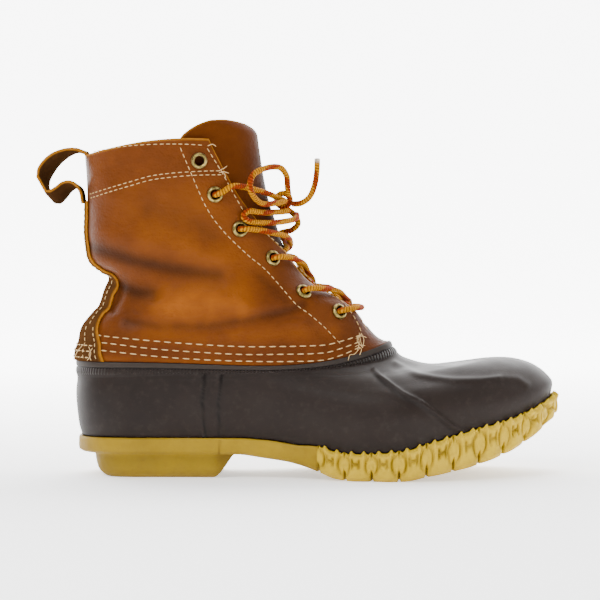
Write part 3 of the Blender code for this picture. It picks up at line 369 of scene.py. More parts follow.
def real_sections():
    """The sections in metres, a row of SECTION_COLUMNS for each."""
    rows = []
    back, front = feather(SHELL_SECTIONS["feather"][0]), feather(SHELL_SECTIONS["feather"][2])
    for table, last, width, back_top, front_top in (
        (SHELL_SECTIONS, "dip", HEEL_WIDTH, SEAM_HEIGHT, TOE_HEIGHT),
        (SHAFT_SECTIONS, "gap", SHAFT_WIDTH, COLLAR_HEIGHT, COLLAR_HEIGHT),
    ):
        for values in table.values():
            row = {"dip": 0.0, "gap": 0.0, **dict(zip((*SECTION_COLUMNS[:-2], last), values))}
            row["back_z"] = back + row["back_z"] * (back_top - back)
            row["front_z"] = front + row["front_z"] * (front_top - front)
            for scale, columns in (
                (width / 2, ("heel", "waist")), (BALL_WIDTH / 2, ("ball",)), (SEAM_HEIGHT, ("sag", "arch")),
                (LENGTH, ("back_x", "front_x", "heel_round", "toe_round")),
            ):
                for column in columns:
                    row[column] *= scale
            rows.append([row[column] for column in SECTION_COLUMNS])
        back, front = row["back_z"], row["front_z"]
    return np.array(rows)


SECTIONS = real_sections()
LEVEL = {name: i for i, name in enumerate([*SHELL_SECTIONS, *SHAFT_SECTIONS])}
TOP = len(SECTIONS) - 1


def section(level):
    """The sections' sizes at an array of levels."""
    level = np.clip(level, 0.0, TOP)
    k = np.minimum(level.astype(int), TOP - 1)
    before, here = SECTIONS[np.maximum(k - 1, 0)], SECTIONS[k]
    after, beyond = SECTIONS[k + 1], SECTIONS[np.minimum(k + 2, TOP)]
    row = hermite((level - k)[..., None], here, (after - before) / 2, after, (beyond - here) / 2)
    return {column: row[..., i] for i, column in enumerate(SECTION_COLUMNS)}


def throat_gap(level):
    return float(section(np.array(level))["gap"])


# Eyelets from the collar down, on the lateral side: turn and level
EYELET_SPOTS = [(0.5 - throat_gap(level) - inset, level) for level, inset in EYELETS]


def across_widths(heel, waist, ball, share):
    """The half width at a share of the length, through the heel, waist and ball widths."""
    a, b, c = HEEL_STATION, WAIST_STATION, BALL_STATION
    first, second = (waist - heel) / (b - a), (ball - waist) / (c - b)
    total = first + second
    middle = np.where(first * second <= 0, 0.0, 2 * first * second / np.where(total == 0, 1, total))
    fore = share >= b
    low, high = np.where(fore, waist, heel), np.where(fore, ball, waist)
    start, end = np.where(fore, middle, 0.0), np.where(fore, 0.0, middle)
    span = np.where(fore, c - b, b - a)
    return hermite(held((share - np.where(fore, b, a)) / span), low, span * start, high, span * end)


def rounded(distance, reach):
    return (1.0 - (1.0 - held(distance / reach)) ** ROUND_POWER) ** (1.0 / ROUND_POWER)


def bare(turn, level):
    """Points of the boot's outer surface. Turns run from the back, the lateral side first."""
    turn, level = np.broadcast_arrays(np.asarray(turn, float), np.asarray(level, float))
    row = section(level)
    angle = math.tau * turn
    along = (1.0 - np.cos(angle)) / 2.0
    x = row["back_x"] + along * (row["front_x"] - row["back_x"])
    share = x / LENGTH
    side = np.where(np.sin(angle) < 0.0, 1.0, -1.0)
    waist = row["waist"] - np.where(side > 0.0, ARCH_IN * HEEL_WIDTH * row["swing"], 0.0)
    width = across_widths(row["heel"], waist, row["ball"], share)
    width = width * rounded(x - row["back_x"], row["heel_round"])
    width = width * rounded(row["front_x"] - x, row["toe_round"])
    y = side * width + CURVE(share) * BALL_WIDTH * row["swing"]
    z = row["back_z"] + (row["front_z"] - row["back_z"]) * along ** row["rise"]
    z = z + row["arch"] * np.sin(math.pi * along) - row["sag"] * np.sin(math.pi * along**2)
    low, high = feather(SHELL_SECTIONS["feather"][0]), feather(SHELL_SECTIONS["feather"][2])
    z = z + row["dip"] * (feather(share) - (low + (high - low) * along))
    return np.stack((x - HEEL_CENTRE, y, z), -1)


def unit(v):
    return v / np.maximum(np.linalg.norm(v, axis=-1, keepdims=True), 1e-12)


def outward(turn, level):
    around = bare(turn + 0.0015, level) - bare(turn - 0.0015, level)
    up = bare(turn, np.minimum(level + 0.05, TOP)) - bare(turn, np.maximum(level - 0.05, 0.0))
    return unit(np.cross(around, up))


def surf(turn, level, offset=0.0):
    """Points at an offset outwards from the outer surface."""
    return bare(turn, level) + outward(turn, level) * np.asarray(offset, float)[..., None]


def side_view(points):
    """Where points lie in the side view. The medial side is read as its mirror image."""
    scale = VIEW_FAR / (VIEW_FAR - np.abs(points[..., 1]))
    across = VIEW_CENTRE + (points[..., 0] + HEEL_CENTRE - VIEW_MIDDLE) * scale / VIEW_STEP
    return across, VIEW_CENTRE - (points[..., 2] - VIEW_HEIGHT) * scale / VIEW_STEP


def soft_line(across, down, line, width):
    """1 on a line of the side view, fading out over its width."""
    best = np.full(np.shape(across), 1e9)
    for (x0, y0), (x1, y1) in zip(line, line[1:]):
        dx, dy = x1 - x0, y1 - y0
        t = held(((across - x0) * dx + (down - y0) * dy) / (dx * dx + dy * dy))
        best = np.minimum(best, np.hypot(across - x0 - t * dx, down - y0 - t * dy))
    return bell(best, width)


def walked(points, axis=0):
    """Distance walked along an axis of a grid of points, in metres."""
    steps = np.linalg.norm(np.diff(points, axis=axis), axis=-1)
    pad = [(0, 0)] * steps.ndim
    pad[axis] = (1, 0)
    return np.cumsum(np.pad(steps, pad), axis=axis)


def smooth_line(knots, count):
    """Evenly spaced points on a smooth curve through knots of any dimension."""
    knots = np.asarray(knots, float)
    last = len(knots) - 1
    walk = []
    for k in range(last):
        here, after = knots[k], knots[k + 1]
        start, end = (after - knots[max(k - 1, 0)]) / 2, (knots[min(k + 2, last)] - here) / 2
        walk += [hermite(t, here, start, after, end) for t in np.arange(0, 1, 1 / 16)]
    walk = np.array([*walk, knots[last]])
    along = walked(walk)
    marks = np.linspace(0.0, along[-1], count)
    return np.stack([np.interp(marks, along, column) for column in walk.T], -1)


def locate(line):
    """The turns and levels on the lateral side that the side view shows along a line."""

    def read(turn, level):
        return np.stack(side_view(bare(turn, level)), -1)

    def product(a, b):
        return a[:, 0] * b[:, 1] - a[:, 1] * b[:, 0]

    turns, levels = np.meshgrid(np.linspace(0.02, 0.495, 120), np.linspace(9, 25.9, 140), indexing="ij")
    seen = read(turns, levels)
    nearest = [np.argmin(((seen - point) ** 2).sum(-1)) for point in line]
    turn, level = turns.flat[nearest], levels.flat[nearest]
    for _ in range(5):
        here = read(turn, level)
        by_turn = (read(turn + 1e-4, level) - here) / 1e-4
        by_level = (read(turn, level + 1e-3) - here) / 1e-3
        area = product(by_turn, by_level)
        area = np.where(np.abs(area) < 1e-3, 1e-3, area)
        miss = line - here
        turn = np.clip(turn + np.clip(product(miss, by_level) / area, -0.02, 0.02), 0.0, 0.499)
        level = np.clip(level + np.clip(product(by_turn, miss) / area, -0.7, 0.7), 0.0, TOP)
    return turn, level


def leather_surf(turn, level, offset=0.0):
    """Points at an offset from the leather's surface, which its creases and swells move."""
    points = bare(turn, level)
    across, down = side_view(points)
    for line, width, height in FOLDS:
        offset = offset + soft_line(across, down, line, width) * height * MM
    return points + outward(turn, level) * np.asarray(offset)[..., None]


def placed(name, data):
    made = bpy.data.objects.new(name, data)
    bpy.context.collection.objects.link(made)
    return made


def mesh_piece(name, points, faces, material, attributes, replaces=()):
    """A smooth-shaded piece on the frame. Its material reads the attributes: a short one starts over."""
    points = np.asarray(points).reshape(-1, 3)
    corners = [face[:3] for face in faces] + [(face[0], *face[2:4]) for face in faces if len(face) == 4]
    a, b, c = points[np.array(corners).T]
    if np.einsum("ij,ij->", a, np.cross(b, c)) < 0:
        faces = [face[::-1] for face in faces]
    mesh = bpy.data.meshes.new(name)
    mesh.from_pydata(points.tolist(), [], faces)
    mesh.shade_smooth()
    for key, values in attributes.items():
        values = np.resize(np.asarray(values, np.float32), len(points))
        mesh.attributes.new(key, "FLOAT", "POINT").data.foreach_set("value", values)
    mesh.materials.append(material)
    made = placed(name, mesh)
    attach(made, "root")
    if replaces:
        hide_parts(*replaces)
    return made


def look(node, points, faces, material, slot, **attributes):
    """The piece that stands in for a node of the frame."""
    mesh_piece(f"{node}_look", points, faces, material, attributes, (node,))


def grid_faces(rows, columns, closed_rows=False, closed_columns=True, keep=None):
    faces = []
    for r in range(rows if closed_rows else rows - 1):
        for c in range(columns if closed_columns else columns - 1):
            if keep is None or keep[r, c]:
                n, here, above = (c + 1) % columns, r * columns, (r + 1) % rows * columns
                faces.append((here + c, here + n, above + n, above + c))
    return faces


def tube_faces(rows, sides):
    """Faces of a tube of rings, with one across each end."""
    ends = [tuple(reversed(range(sides))), tuple(range((rows - 1) * sides, rows * sides))]
    return grid_faces(rows, sides) + ends


def stack_faces(rows, around):
    """Faces of a stack of loops that are symmetric about their first point, with strips across its ends."""
    half, top = around // 2, (rows - 1) * around
    strips = [(0, 1, around - 1), (half - 1, half, half + 1)]
    strips += [(j, j + 1, around - j - 1, around - j) for j in range(1, half - 1)]
    ends = [strip[::-1] for strip in strips] + [tuple(top + j for j in strip) for strip in strips]
    return grid_faces(rows, around) + ends


def two_sided(outer, inner, closed_columns=False, keep=None):
    """Points and faces of a sheet with a wall, from two grids of points and which cells are kept."""
    rows, columns = outer.shape[:2]
    height, width = rows - 1, columns if closed_columns else columns - 1
    cells = np.ones((height, width), bool) if keep is None else keep
    half = rows * columns
    front = grid_faces(rows, columns, False, closed_columns, cells)
    faces = front + [tuple(half + v for v in face[::-1]) for face in front]
    for r, c in zip(*np.nonzero(cells)):
        n, u = (c + 1) % columns, r + 1
        ring = (r * columns + c, r * columns + n, u * columns + n, u * columns + c)
        for k, (i, j) in enumerate(((r - 1, c), (r, c + 1), (r + 1, c), (r, c - 1))):
            if closed_columns:
                j %= width
            if not (0 <= i < height and 0 <= j < width and cells[i, j]):
                a, b = ring[k], ring[(k + 1) % 4]
                faces.append((b, a, a + half, b + half))
    return np.stack((outer, inner)), faces


def both(front, back, shape):
    """Values for the two sides of a sheet."""
    return np.stack([np.broadcast_to(side, shape) for side in (front, back)])


def srgb(*levels):
    shares = [level / 255 for level in levels]
    return (*(c / 12.92 if c <= 0.04045 else ((c + 0.055) / 1.055) ** 2.4 for c in shares), 1.0)


class Paint:
    """A material with short names for the nodes it is made of. Colours are sockets or sRGB levels."""

    def __init__(self, name):
        self.material = bpy.data.materials.new(name)
        self.material.use_nodes = True
        self.tree = self.material.node_tree
        self.shader = self.tree.nodes["Principled BSDF"]
        self.place = self.node("TexCoord", "Object")
        self.colour = None

    def fill(self, node, inputs):
        for key, value in inputs.items():
            if isinstance(value, bpy.types.NodeSocket):
                self.tree.links.new(value, node.inputs[key])
            elif value is not None:
                node.inputs[key].default_value = value

    def node(self, kind, out, inputs=None, **settings):
        made = self.tree.nodes.new(f"ShaderNode{kind}")
        for key, value in settings.items():
            setattr(made, key, value)
        self.fill(made, inputs or {})
        return made.outputs[out]

    def math(self, how, a, b=0.0, clamp=False):
        return self.node("Math", 0, {0: a, 1: b}, operation=how, use_clamp=clamp)

    def times(self, a, b):
        return self.math("MULTIPLY", a, b)

    def plus(self, a, b):
        return self.math("ADD", a, b)

    def read(self, name):
        return self.node("Attribute", "Fac", attribute_name=name)

    def stretch(self, x, y, z):
        return self.node("Mapping", 0, {"Scale": (x, y, z), "Vector": self.place})

    def noise(self, scale, detail=3.0, rough=0.5, place=None):
        inputs = {"Scale": scale, "Detail": detail, "Roughness": rough, "Vector": place or self.place}
        return self.node("TexNoise", "Fac", inputs)

    def span(self, value, low, high, to_low=0.0, to_high=1.0):
        limits = {"From Min": low, "From Max": high, "To Min": to_low, "To Max": to_high}
        return self.node("MapRange", 0, {"Value": value, **limits})

    def patches(self, low, high, *noise):
        return self.span(self.noise(*noise), low, high)

    def mix(self, share, a, b):
        a, b = (srgb(*value) if isinstance(value, tuple) else value for value in (a, b))
        return self.node("Mix", "Result", {"Factor": share, "A": a, "B": b}, data_type="RGBA")

    def layer(self, mask, share, colour):
        """Lays a colour over what is there."""
        self.colour = self.mix(self.times(mask, share), self.colour, colour)

    def bump(self, *layers):
        """The normal under layers of (height, distance, strength)."""
        normal = None
        for height, distance, strength in layers:
            inputs = {"Distance": distance, "Strength": strength, "Height": height, "Normal": normal}
            normal = self.node("Bump", 0, inputs)
        return normal

    def finish(self, rough, normal=None, spec=0.5, metal=0.0):
        inputs = {"Base Color": self.colour, "Roughness": rough, "Normal": normal, "Metallic": metal}
        self.fill(self.shader, {**inputs, "Specular IOR Level": spec})
        return self.material


def leather_paint(name, light, dark, deep, rough, spec):
    """Full-grain leather: mottled colour, fine grain, soft wrinkles, bare cut edges and flesh side, with
    painted shade and painted highlights.
    """
    p = Paint(name)
    p.colour = p.mix(p.times(p.patches(0.32, 0.68, 16, 4, 0.6), 0.8), dark, light)
    p.layer(p.patches(0.3, 0.7, 190, 5, 0.7), 0.14, deep)
    p.layer(p.patches(0.56, 0.72, 60, 4, 0.65, p.stretch(0.7, 0.7, 2.4)), 0.18, light)
    # Painted shade: darker in the creases, at the back and front and down the tongue; on the backstay and
    # pull loop the same layer gives their own darker tone
    p.layer(p.read("hollow"), 0.88, deep)
    # Painted highlights on the swells, and rubbed places, lighter in uneven patches
    p.layer(p.read("worn"), p.patches(0.2, 0.6, 40), (148, 80, 14))
    p.layer(p.read("inside"), 1.0, p.mix(p.noise(500), (112, 66, 26), (146, 94, 44)))
    p.layer(p.read("cut"), 1.0, p.mix(p.noise(700, 2), (140, 84, 16), (176, 116, 32)))
    grain = p.node("TexVoronoi", "Distance", {"Scale": 620, "Vector": p.place}, feature="F1")
    pores = p.plus(grain, p.times(p.noise(1500, 2), 0.5))
    wrinkle = p.noise(95, 5, 0.62, p.stretch(1.0, 1.0, 2.2))
    shine = p.span(p.noise(45), 0.3, 0.7, rough - 0.07, rough + 0.09)
    shine = p.math("ADD", shine, p.times(p.read("inside"), 0.35), clamp=True)
    return p.finish(shine, p.bump((wrinkle, 0.0016, 0.45), (pores, 0.0003, 0.5)), spec)


def brown_rubber_paint():
    """Moulded rubber: near black-brown, dusty in broad patches, with a knurled band under the seam and
    painted shade beside its ridges.
    """
    p = Paint("brown_rubber_look")
    p.colour = p.mix(p.patches(0.35, 0.7, 14, 4, 0.6), (27, 20, 17), (36, 28, 24))
    p.layer(p.patches(0.52, 0.75, 240, 4, 0.7), 0.22, (58, 50, 44))
    p.layer(p.read("rim"), 0.6, (54, 47, 42))
    p.layer(p.read("knurl"), 0.25, (60, 52, 47))
    p.layer(p.patches(0.63, 0.76, 75, 6, 0.75, p.stretch(0.5, 1, 2.0)), 0.2, (74, 66, 60))
    # Painted shade in dark lines beside the ridges and in the groove at the plain band's edge
    p.layer(p.read("line"), 0.8, (10, 8, 7))
    ribs = p.math("SINE", p.times(p.read("around"), math.tau / KNURL_PITCH))
    ribs = p.times(ribs, p.read("knurl"))
    normal = p.bump((p.noise(900), 0.00012, 0.5), (p.noise(60, 4), 0.0006, 0.25), (ribs, 0.0011, 1.0))
    return p.finish(p.span(p.noise(35), 0.3, 0.7, 0.42, 0.58), normal, 0.14)


def tan_rubber_paint(name, light, dark):
    """Crepe-coloured rubber: mustard tan, with painted shade in its grooves, and darker towards the floor."""
    p = Paint(name)
    p.colour = p.mix(p.patches(0.35, 0.68, 22, 4, 0.6), dark, light)
    p.layer(p.read("lobe"), 0.75, (206, 172, 28))
    p.layer(p.patches(0.5, 0.75, 260, 4, 0.7), 0.3, (112, 82, 14))
    # Painted shade in the grooves, of uneven strength
    p.layer(p.times(p.read("groove"), p.span(p.noise(120, 4), 0.2, 0.7, 0.6, 1.0)), 0.8, (72, 48, 5))
    p.layer(p.times(p.read("low"), p.patches(0.35, 0.65, 90, 5, 0.7)), 0.5, (96, 74, 24))
    normal = p.bump((p.noise(650, 4, 0.6), 0.00022, 0.6), (p.noise(150, 4, 0.6), 0.0012, 0.45))
    return p.finish(p.span(p.noise(60), 0.3, 0.7, 0.5, 0.68), normal, 0.2)


def brass_paint():
    p = Paint("aged_brass_look")
    p.colour = p.mix(p.patches(0.4, 0.65, 420, 4, 0.7), (92, 80, 38), (186, 164, 96))
    # Painted shade in the hole and at the rim's outer edge
    p.layer(p.read("hollow"), 1.0, (52, 40, 24))
    shine = p.span(p.noise(500), 0.3, 0.7, 0.28, 0.5)
    return p.finish(shine, p.bump((p.noise(1200, 2), 0.0001, 0.4)), metal=0.9)


def lace_paint():
    """Round woven lace: yellow gold ribs that slant around it, red-brown where its other strand shows."""
    p = Paint("gold_lace_look")
    around = p.times(p.read("turned"), math.tau)
    along = p.read("along")
    angles = (p.plus(p.times(along, math.tau / pitch), around) for pitch in (0.0017, 0.023))
    rib, strand = (p.math("SINE", angle) for angle in angles)
    strand = p.plus(strand, p.span(p.noise(260), 0.3, 0.7, -0.5, 0.5))
    gold = p.mix(p.noise(700), (170, 106, 0), (194, 132, 2))
    red = p.mix(p.noise(600), (120, 34, 4), (158, 62, 8))
    p.colour = p.mix(p.span(strand, 0.15, 0.6), gold, red)
    # Painted shade in the grooves between the ribs
    p.layer(p.span(rib, -0.95, 0.1, 0.75, 0.0), 1.0, (74, 30, 2))
    p.layer(p.read("tip"), 1.0, (196, 184, 168))
    return p.finish(0.75, p.bump((rib, 0.0004, 0.9)), 0.06)


def thread_paint():
    p = Paint("thread_look")
    p.colour = p.mix(p.noise(900, 2), (188, 150, 98), (216, 184, 134))
    # Painted shade where each stitch sinks into its hole
    p.layer(p.math("POWER", p.read("tip"), 0.7), 1.0, (52, 24, 6))
    return p.finish(0.8, p.bump((p.noise(3000, 2), 0.00008, 0.6)), 0.1)


def board_paint():
    p = Paint("insole_look")
    p.colour = p.mix(p.noise(60, 4), (112, 92, 66), (146, 122, 88))
    return p.finish(0.92, p.bump((p.noise(900), 0.0003, 0.7)))


TAN = leather_paint("tan_leather_look", (105, 54, 13), (80, 38, 9), (33, 15, 5), 0.42, 0.06)
DARK = leather_paint("dark_leather_look", (98, 50, 12), (76, 36, 9), (26, 11, 3), 0.52, 0.02)
BACK = leather_paint("worn_leather_look", (90, 58, 30), (60, 36, 18), (30, 18, 9), 0.6, 0.0)
BROWN = brown_rubber_paint()
SOLE = tan_rubber_paint("tan_rubber_look", (152, 122, 8), (126, 99, 4))
BRASS = brass_paint()
LACE = lace_paint()
THREAD = thread_paint()


def build_shell():
    lip, seam, flange = LEVEL["lip"], LEVEL["seam"], LEVEL["throat"] - 1.0
    turns = np.arange(SHELL_TURNS) / SHELL_TURNS
    levels = np.concatenate((np.linspace(0, lip - 0.25, 112), np.linspace(lip - 0.2, seam, 18)))
    t, v = np.meshgrid(turns, levels)
    base = bare(t, v)
    below = walked(base[::-1])[::-1]
    across, down = side_view(base)
    rim = held((RIM_LOW - below) / 0.0012)
    push = LIP_STEP * held((LIP_LOW - below) / 0.004) + rim * 0.0004
    # Painted shade: a dark line in the groove under the plain band, beside the fine ridges and under the side
    # ridge
    shade_lines = bell(below - RIM_PLAIN, 0.0004) * 0.7
    for line, width, height in RIDGES:
        push = push + soft_line(across, down, line, width) * height * MM * (1 - rim)
        if width < FINE_RIDGE:
            shade_lines = np.maximum(shade_lines, soft_line(across - 1.3, down, line, 0.8) * (1 - rim))
    push = push - 0.0006 * bell(below - RIM_PLAIN, 0.0006)
    shade_lines = np.maximum(shade_lines, 0.5 * soft_line(across, down - 3.4, RIDGES[SIDE_RIDGE][0], 1.8) * (1 - rim))
    outer = base + outward(t, v) * push[..., None]
    behind = -LEATHER_WALL - FLANGE_CLEARANCE
    inside = [(seam, behind), (flange, behind), (flange, behind - FLANGE_WALL)]
    inside += [(level, -RUBBER_WALL) for level in (lip - 0.6, 8, 6, 4, 2, 0)]
    inner = np.stack([surf(turns, level, offset) for level, offset in inside])
    points = np.concatenate((outer, inner))
    knurl = held((below - RIM_PLAIN) / 0.0006) * held((RIM_LOW - below) / 0.0006)
    knurl = knurl * held(0.15 + 1.3 * held(1 - np.abs(t - 0.5) / 0.26))
    plain = held((RIM_PLAIN - below) / 0.0008)
    grids = {"around": walked(base, 1), "knurl": knurl, "rim": plain, "line": shade_lines}
    blank = np.zeros(inner.shape[:2])
    grids = {key: np.concatenate((grid, blank)) for key, grid in grids.items()}
    look("rubber_shell", points, grid_faces(*points.shape[:2], True), BROWN, "brown_rubber", **grids)


def build_leather():
    base, collar, seam = LEVEL["throat"], LEVEL["collar"], LEVEL["seam"]
    side, front = LEATHER_SIDE, LEATHER_FRONT
    levels = np.concatenate((np.linspace(seam + 0.06, base, 26), np.linspace(base, collar, 96)[1:]))
    rows = []
    for level in levels:
        edge = 0.5 - throat_gap(max(level, base))
        half = np.concatenate((np.linspace(0, edge, side + 1), np.linspace(edge, 0.5, front + 1)[1:]))
        rows.append(np.concatenate((half, 1 - half[1:-1][::-1])))
    t = np.array(rows)
    v = np.repeat(levels[:, None], t.shape[1], 1)
    outer = leather_surf(t, v)
    columns = np.arange(t.shape[1])
    in_front = (columns >= side) & (columns < side + 2 * front)
    rise = np.minimum(np.abs(columns + 0.5 - side - front) / front, 1.0)
    keep = ~(in_front & (levels[:-1, None] >= base - 0.02 + 0.55 * rise**3))
    beside = np.roll(outer, -1, 1)
    middle = (outer[:-1] + beside[:-1] + outer[1:] + beside[1:]) / 4
    for turn, level in EYELET_SPOTS:
        for place in (turn, 1 - turn):
            far = np.linalg.norm(middle - leather_surf(place, level), axis=-1)
            keep &= far > EYELET_HOLE + 0.0007
    cut = np.zeros(t.shape)
    cut[-1] = 1
    cut[:, side] = cut[:, side + 2 * front] = levels >= base
    across, down = side_view(outer)
    edge = np.abs(2 * t - 1)
    # Painted shade: darker at the back, most lower down, at the front, in a band across the side and near the
    # eyestay's top
    shade = 0.75 * held((edge - 0.84) / 0.12) * np.clip((LEVEL["fold_low"] - v) / 2, 0.5, 1)
    shade = shade + 0.35 * held((0.30 - edge) / 0.2)
    shade = shade + 0.12 * held((395 - down) / 60) * held((down - 340) / 40)
    shade = shade + 0.2 * held((across - (174 + (down - 241) * 0.42)) / 6) * held((268 - down) / 3)
    # Painted shade in the creases, as deep as each crease, joined with the painted shade above
    hollow = np.zeros(t.shape)
    for line, width, height in FOLDS:
        if height < 0:
            hollow = np.maximum(hollow, soft_line(across, down, line, width * 0.8) * min(1.0, -height / 2.2))
    hollow = held(np.maximum(hollow, shade))
    # Painted highlights along the swells, and rubbed places
    worn = sum(soft_line(across, down, line, width) * share for line, width, share in HIGHLIGHTS_AND_WEAR)
    look(
        "leather_upper", *two_sided(outer, leather_surf(t, v, -LEATHER_WALL), True, keep), TAN, "tan_leather",
        hollow=hollow, inside=both(0, 1, t.shape), cut=cut, worn=both(worn, 0, t.shape),
    )


def build_tongue():
    bottom = LEVEL["throat"] - 0.6
    half = lookup((
        (bottom, 0.075), (17.0, 0.105), (20.0, 0.140), (23.0, 0.195), (25.2, 0.255), (26.5, 0.262),
    ))
    top = lookup((
        (0.0, 26.30), (0.20, 26.62), (0.40, 26.74), (0.60, 26.42), (0.76, 25.85), (0.90, 25.20), (1.0, 24.7),
    ))
    a, s = np.meshgrid(np.linspace(-1, 1, 81), np.linspace(0, 1, 90))
    v = bottom + (top(np.abs(a)) - bottom) * s
    t = 0.5 + a * half(v)
    near = -LEATHER_WALL - TONGUE_CLEARANCE
    soft = 0.0009 * bell(np.abs(a) - 0.5, 0.2) * held((v - 20) / 4)
    outer, inner = surf(t, v, near - soft), surf(t, v, near - TONGUE_WALL)
    # Painted shade: darker all over, most down its middle where it lies back in the throat, and more lower
    # down
    front = held(1 - np.abs(t - 0.5) / 0.11)
    hollow = held(0.15 + 1.35 * front * np.clip((27.5 - v) / 5, 0.35, 1))
    cut = np.zeros(t.shape)
    cut[-1] = cut[:, 0] = cut[:, -1] = 0.7
    look(
        "tongue", *two_sided(outer, inner), DARK, "dark_leather",
        hollow=both(hollow, 0.2, t.shape), inside=both(0, 1, t.shape), cut=cut, worn=0.0,
    )


def build_backstay():
    """The strip over the back seam. Returns its half width in turns at a level."""
    base = LEVEL["seam"]
    half = lookup([(base + up, width) for up, width in (
        (0.0, 0.102), (1.0, 0.098), (2.0, 0.092), (3.0, 0.080), (4.0, 0.067),
        (5.0, 0.066), (6.3, 0.068), (7.2, 0.058), (8.2, 0.038), (12.0, 0.036),
    )])
    a, v = np.meshgrid(np.linspace(-1, 1, 49), np.linspace(base + 0.08, LEVEL["shaft_mid"] + 0.1, 110))
    t = a * half(v)
    thin = held((1 - np.abs(a)) / 0.06) ** 0.5
    outer = leather_surf(t, v, 0.0004 + STRIP_WALL * (0.55 + 0.45 * thin))
    cut = held((np.abs(a) - 0.955) / 0.03)
    look(
        "backstay", *two_sided(outer, leather_surf(t, v, 0.0003)), BACK, "tan_leather",
        hollow=0.25, inside=0.0, cut=cut, worn=0.0,
    )
    return half


def build_pull_loop():
    foot = surf(0.0, LEVEL["shaft_mid"], STRIP_CLEARANCE + LOOP_WALL / 2)
    knots = [
        (foot[0] - out * LOOP_REACH, foot[2] + GAP + up * LOOP_RISE, lean) for out, up, lean in LOOP_PATH
    ]
    x, z, lean = smooth_line(knots, LACE_ROWS).T
    level = 0 * x
    step = unit(np.gradient(np.stack((x, z), -1), axis=0))
    away = np.stack((-step[:, 1], level, step[:, 0]), -1)
    across = unit(np.stack((LOOP_LEAN_X * lean, level + LOOP_WIDTH / 2, -LOOP_LEAN_Z * lean), -1))
    angle = math.tau * np.arange(LOOP_SIDES) / LOOP_SIDES
    c, s = np.cos(angle), np.sin(angle)
    wide, thick = np.sign(c) * np.abs(c) ** 0.35, np.sign(s) * np.abs(s) ** 0.5
    points = np.stack((x, level, z), -1)[:, None] + across[:, None] * (wide * LOOP_WIDTH / 2)[:, None]
    points = points + away[:, None] * (thick * LOOP_WALL / 2)[:, None]
    edge = held((np.abs(wide) - 0.93) / 0.07)
    faces = tube_faces(LACE_ROWS, LOOP_SIDES)
    look("pull_loop", points, faces, BACK, "dark_leather", hollow=0.6, inside=0.0, cut=0.7 * edge, worn=0.0)


def outline(turn, margin):
    """The sole's outline on the floor, at a margin beyond the shell."""
    step = bare(turn + 0.002, 0.0) - bare(turn - 0.002, 0.0)
    away = unit(np.stack((step[..., 1], -step[..., 0], 0 * step[..., 0]), -1))
    place = bare(turn, 0.0) + away * np.asarray(margin, float)[..., None]
    place[..., 2] = 0
    return place


def stations():
    """Turns and lobe phases around the sole's edge: lateral side from the back, toe, then back."""
    sides = []
    tread = (LOBES_A_SIDE + 0.5) * LOBE_PITCH
    step = np.arange(int(round((LOBES_A_SIDE + 0.5) * LOBE_STEPS)), 0, -1) / LOBE_STEPS
    phase = np.concatenate((np.full(PLAIN_STEPS - 1, np.nan), (step + 0.5) % 1.0 * 2 - 1))
    for side in (-1, 1):
        turns = 0.5 + side * 0.5 * np.arange(601) / 600
        far = walked(outline(turns, 0.0))
        plain = far[-1] + (tread - far[-1]) * (np.arange(1, PLAIN_STEPS) / PLAIN_STEPS) ** 0.9
        sides.append(np.interp(np.concatenate((plain, step * LOBE_PITCH)), far, turns))
    turn = np.concatenate(([0.0], sides[0], [0.5], sides[1][::-1]))
    return turn, np.concatenate(([np.nan], phase, [0.0], -phase[::-1]))


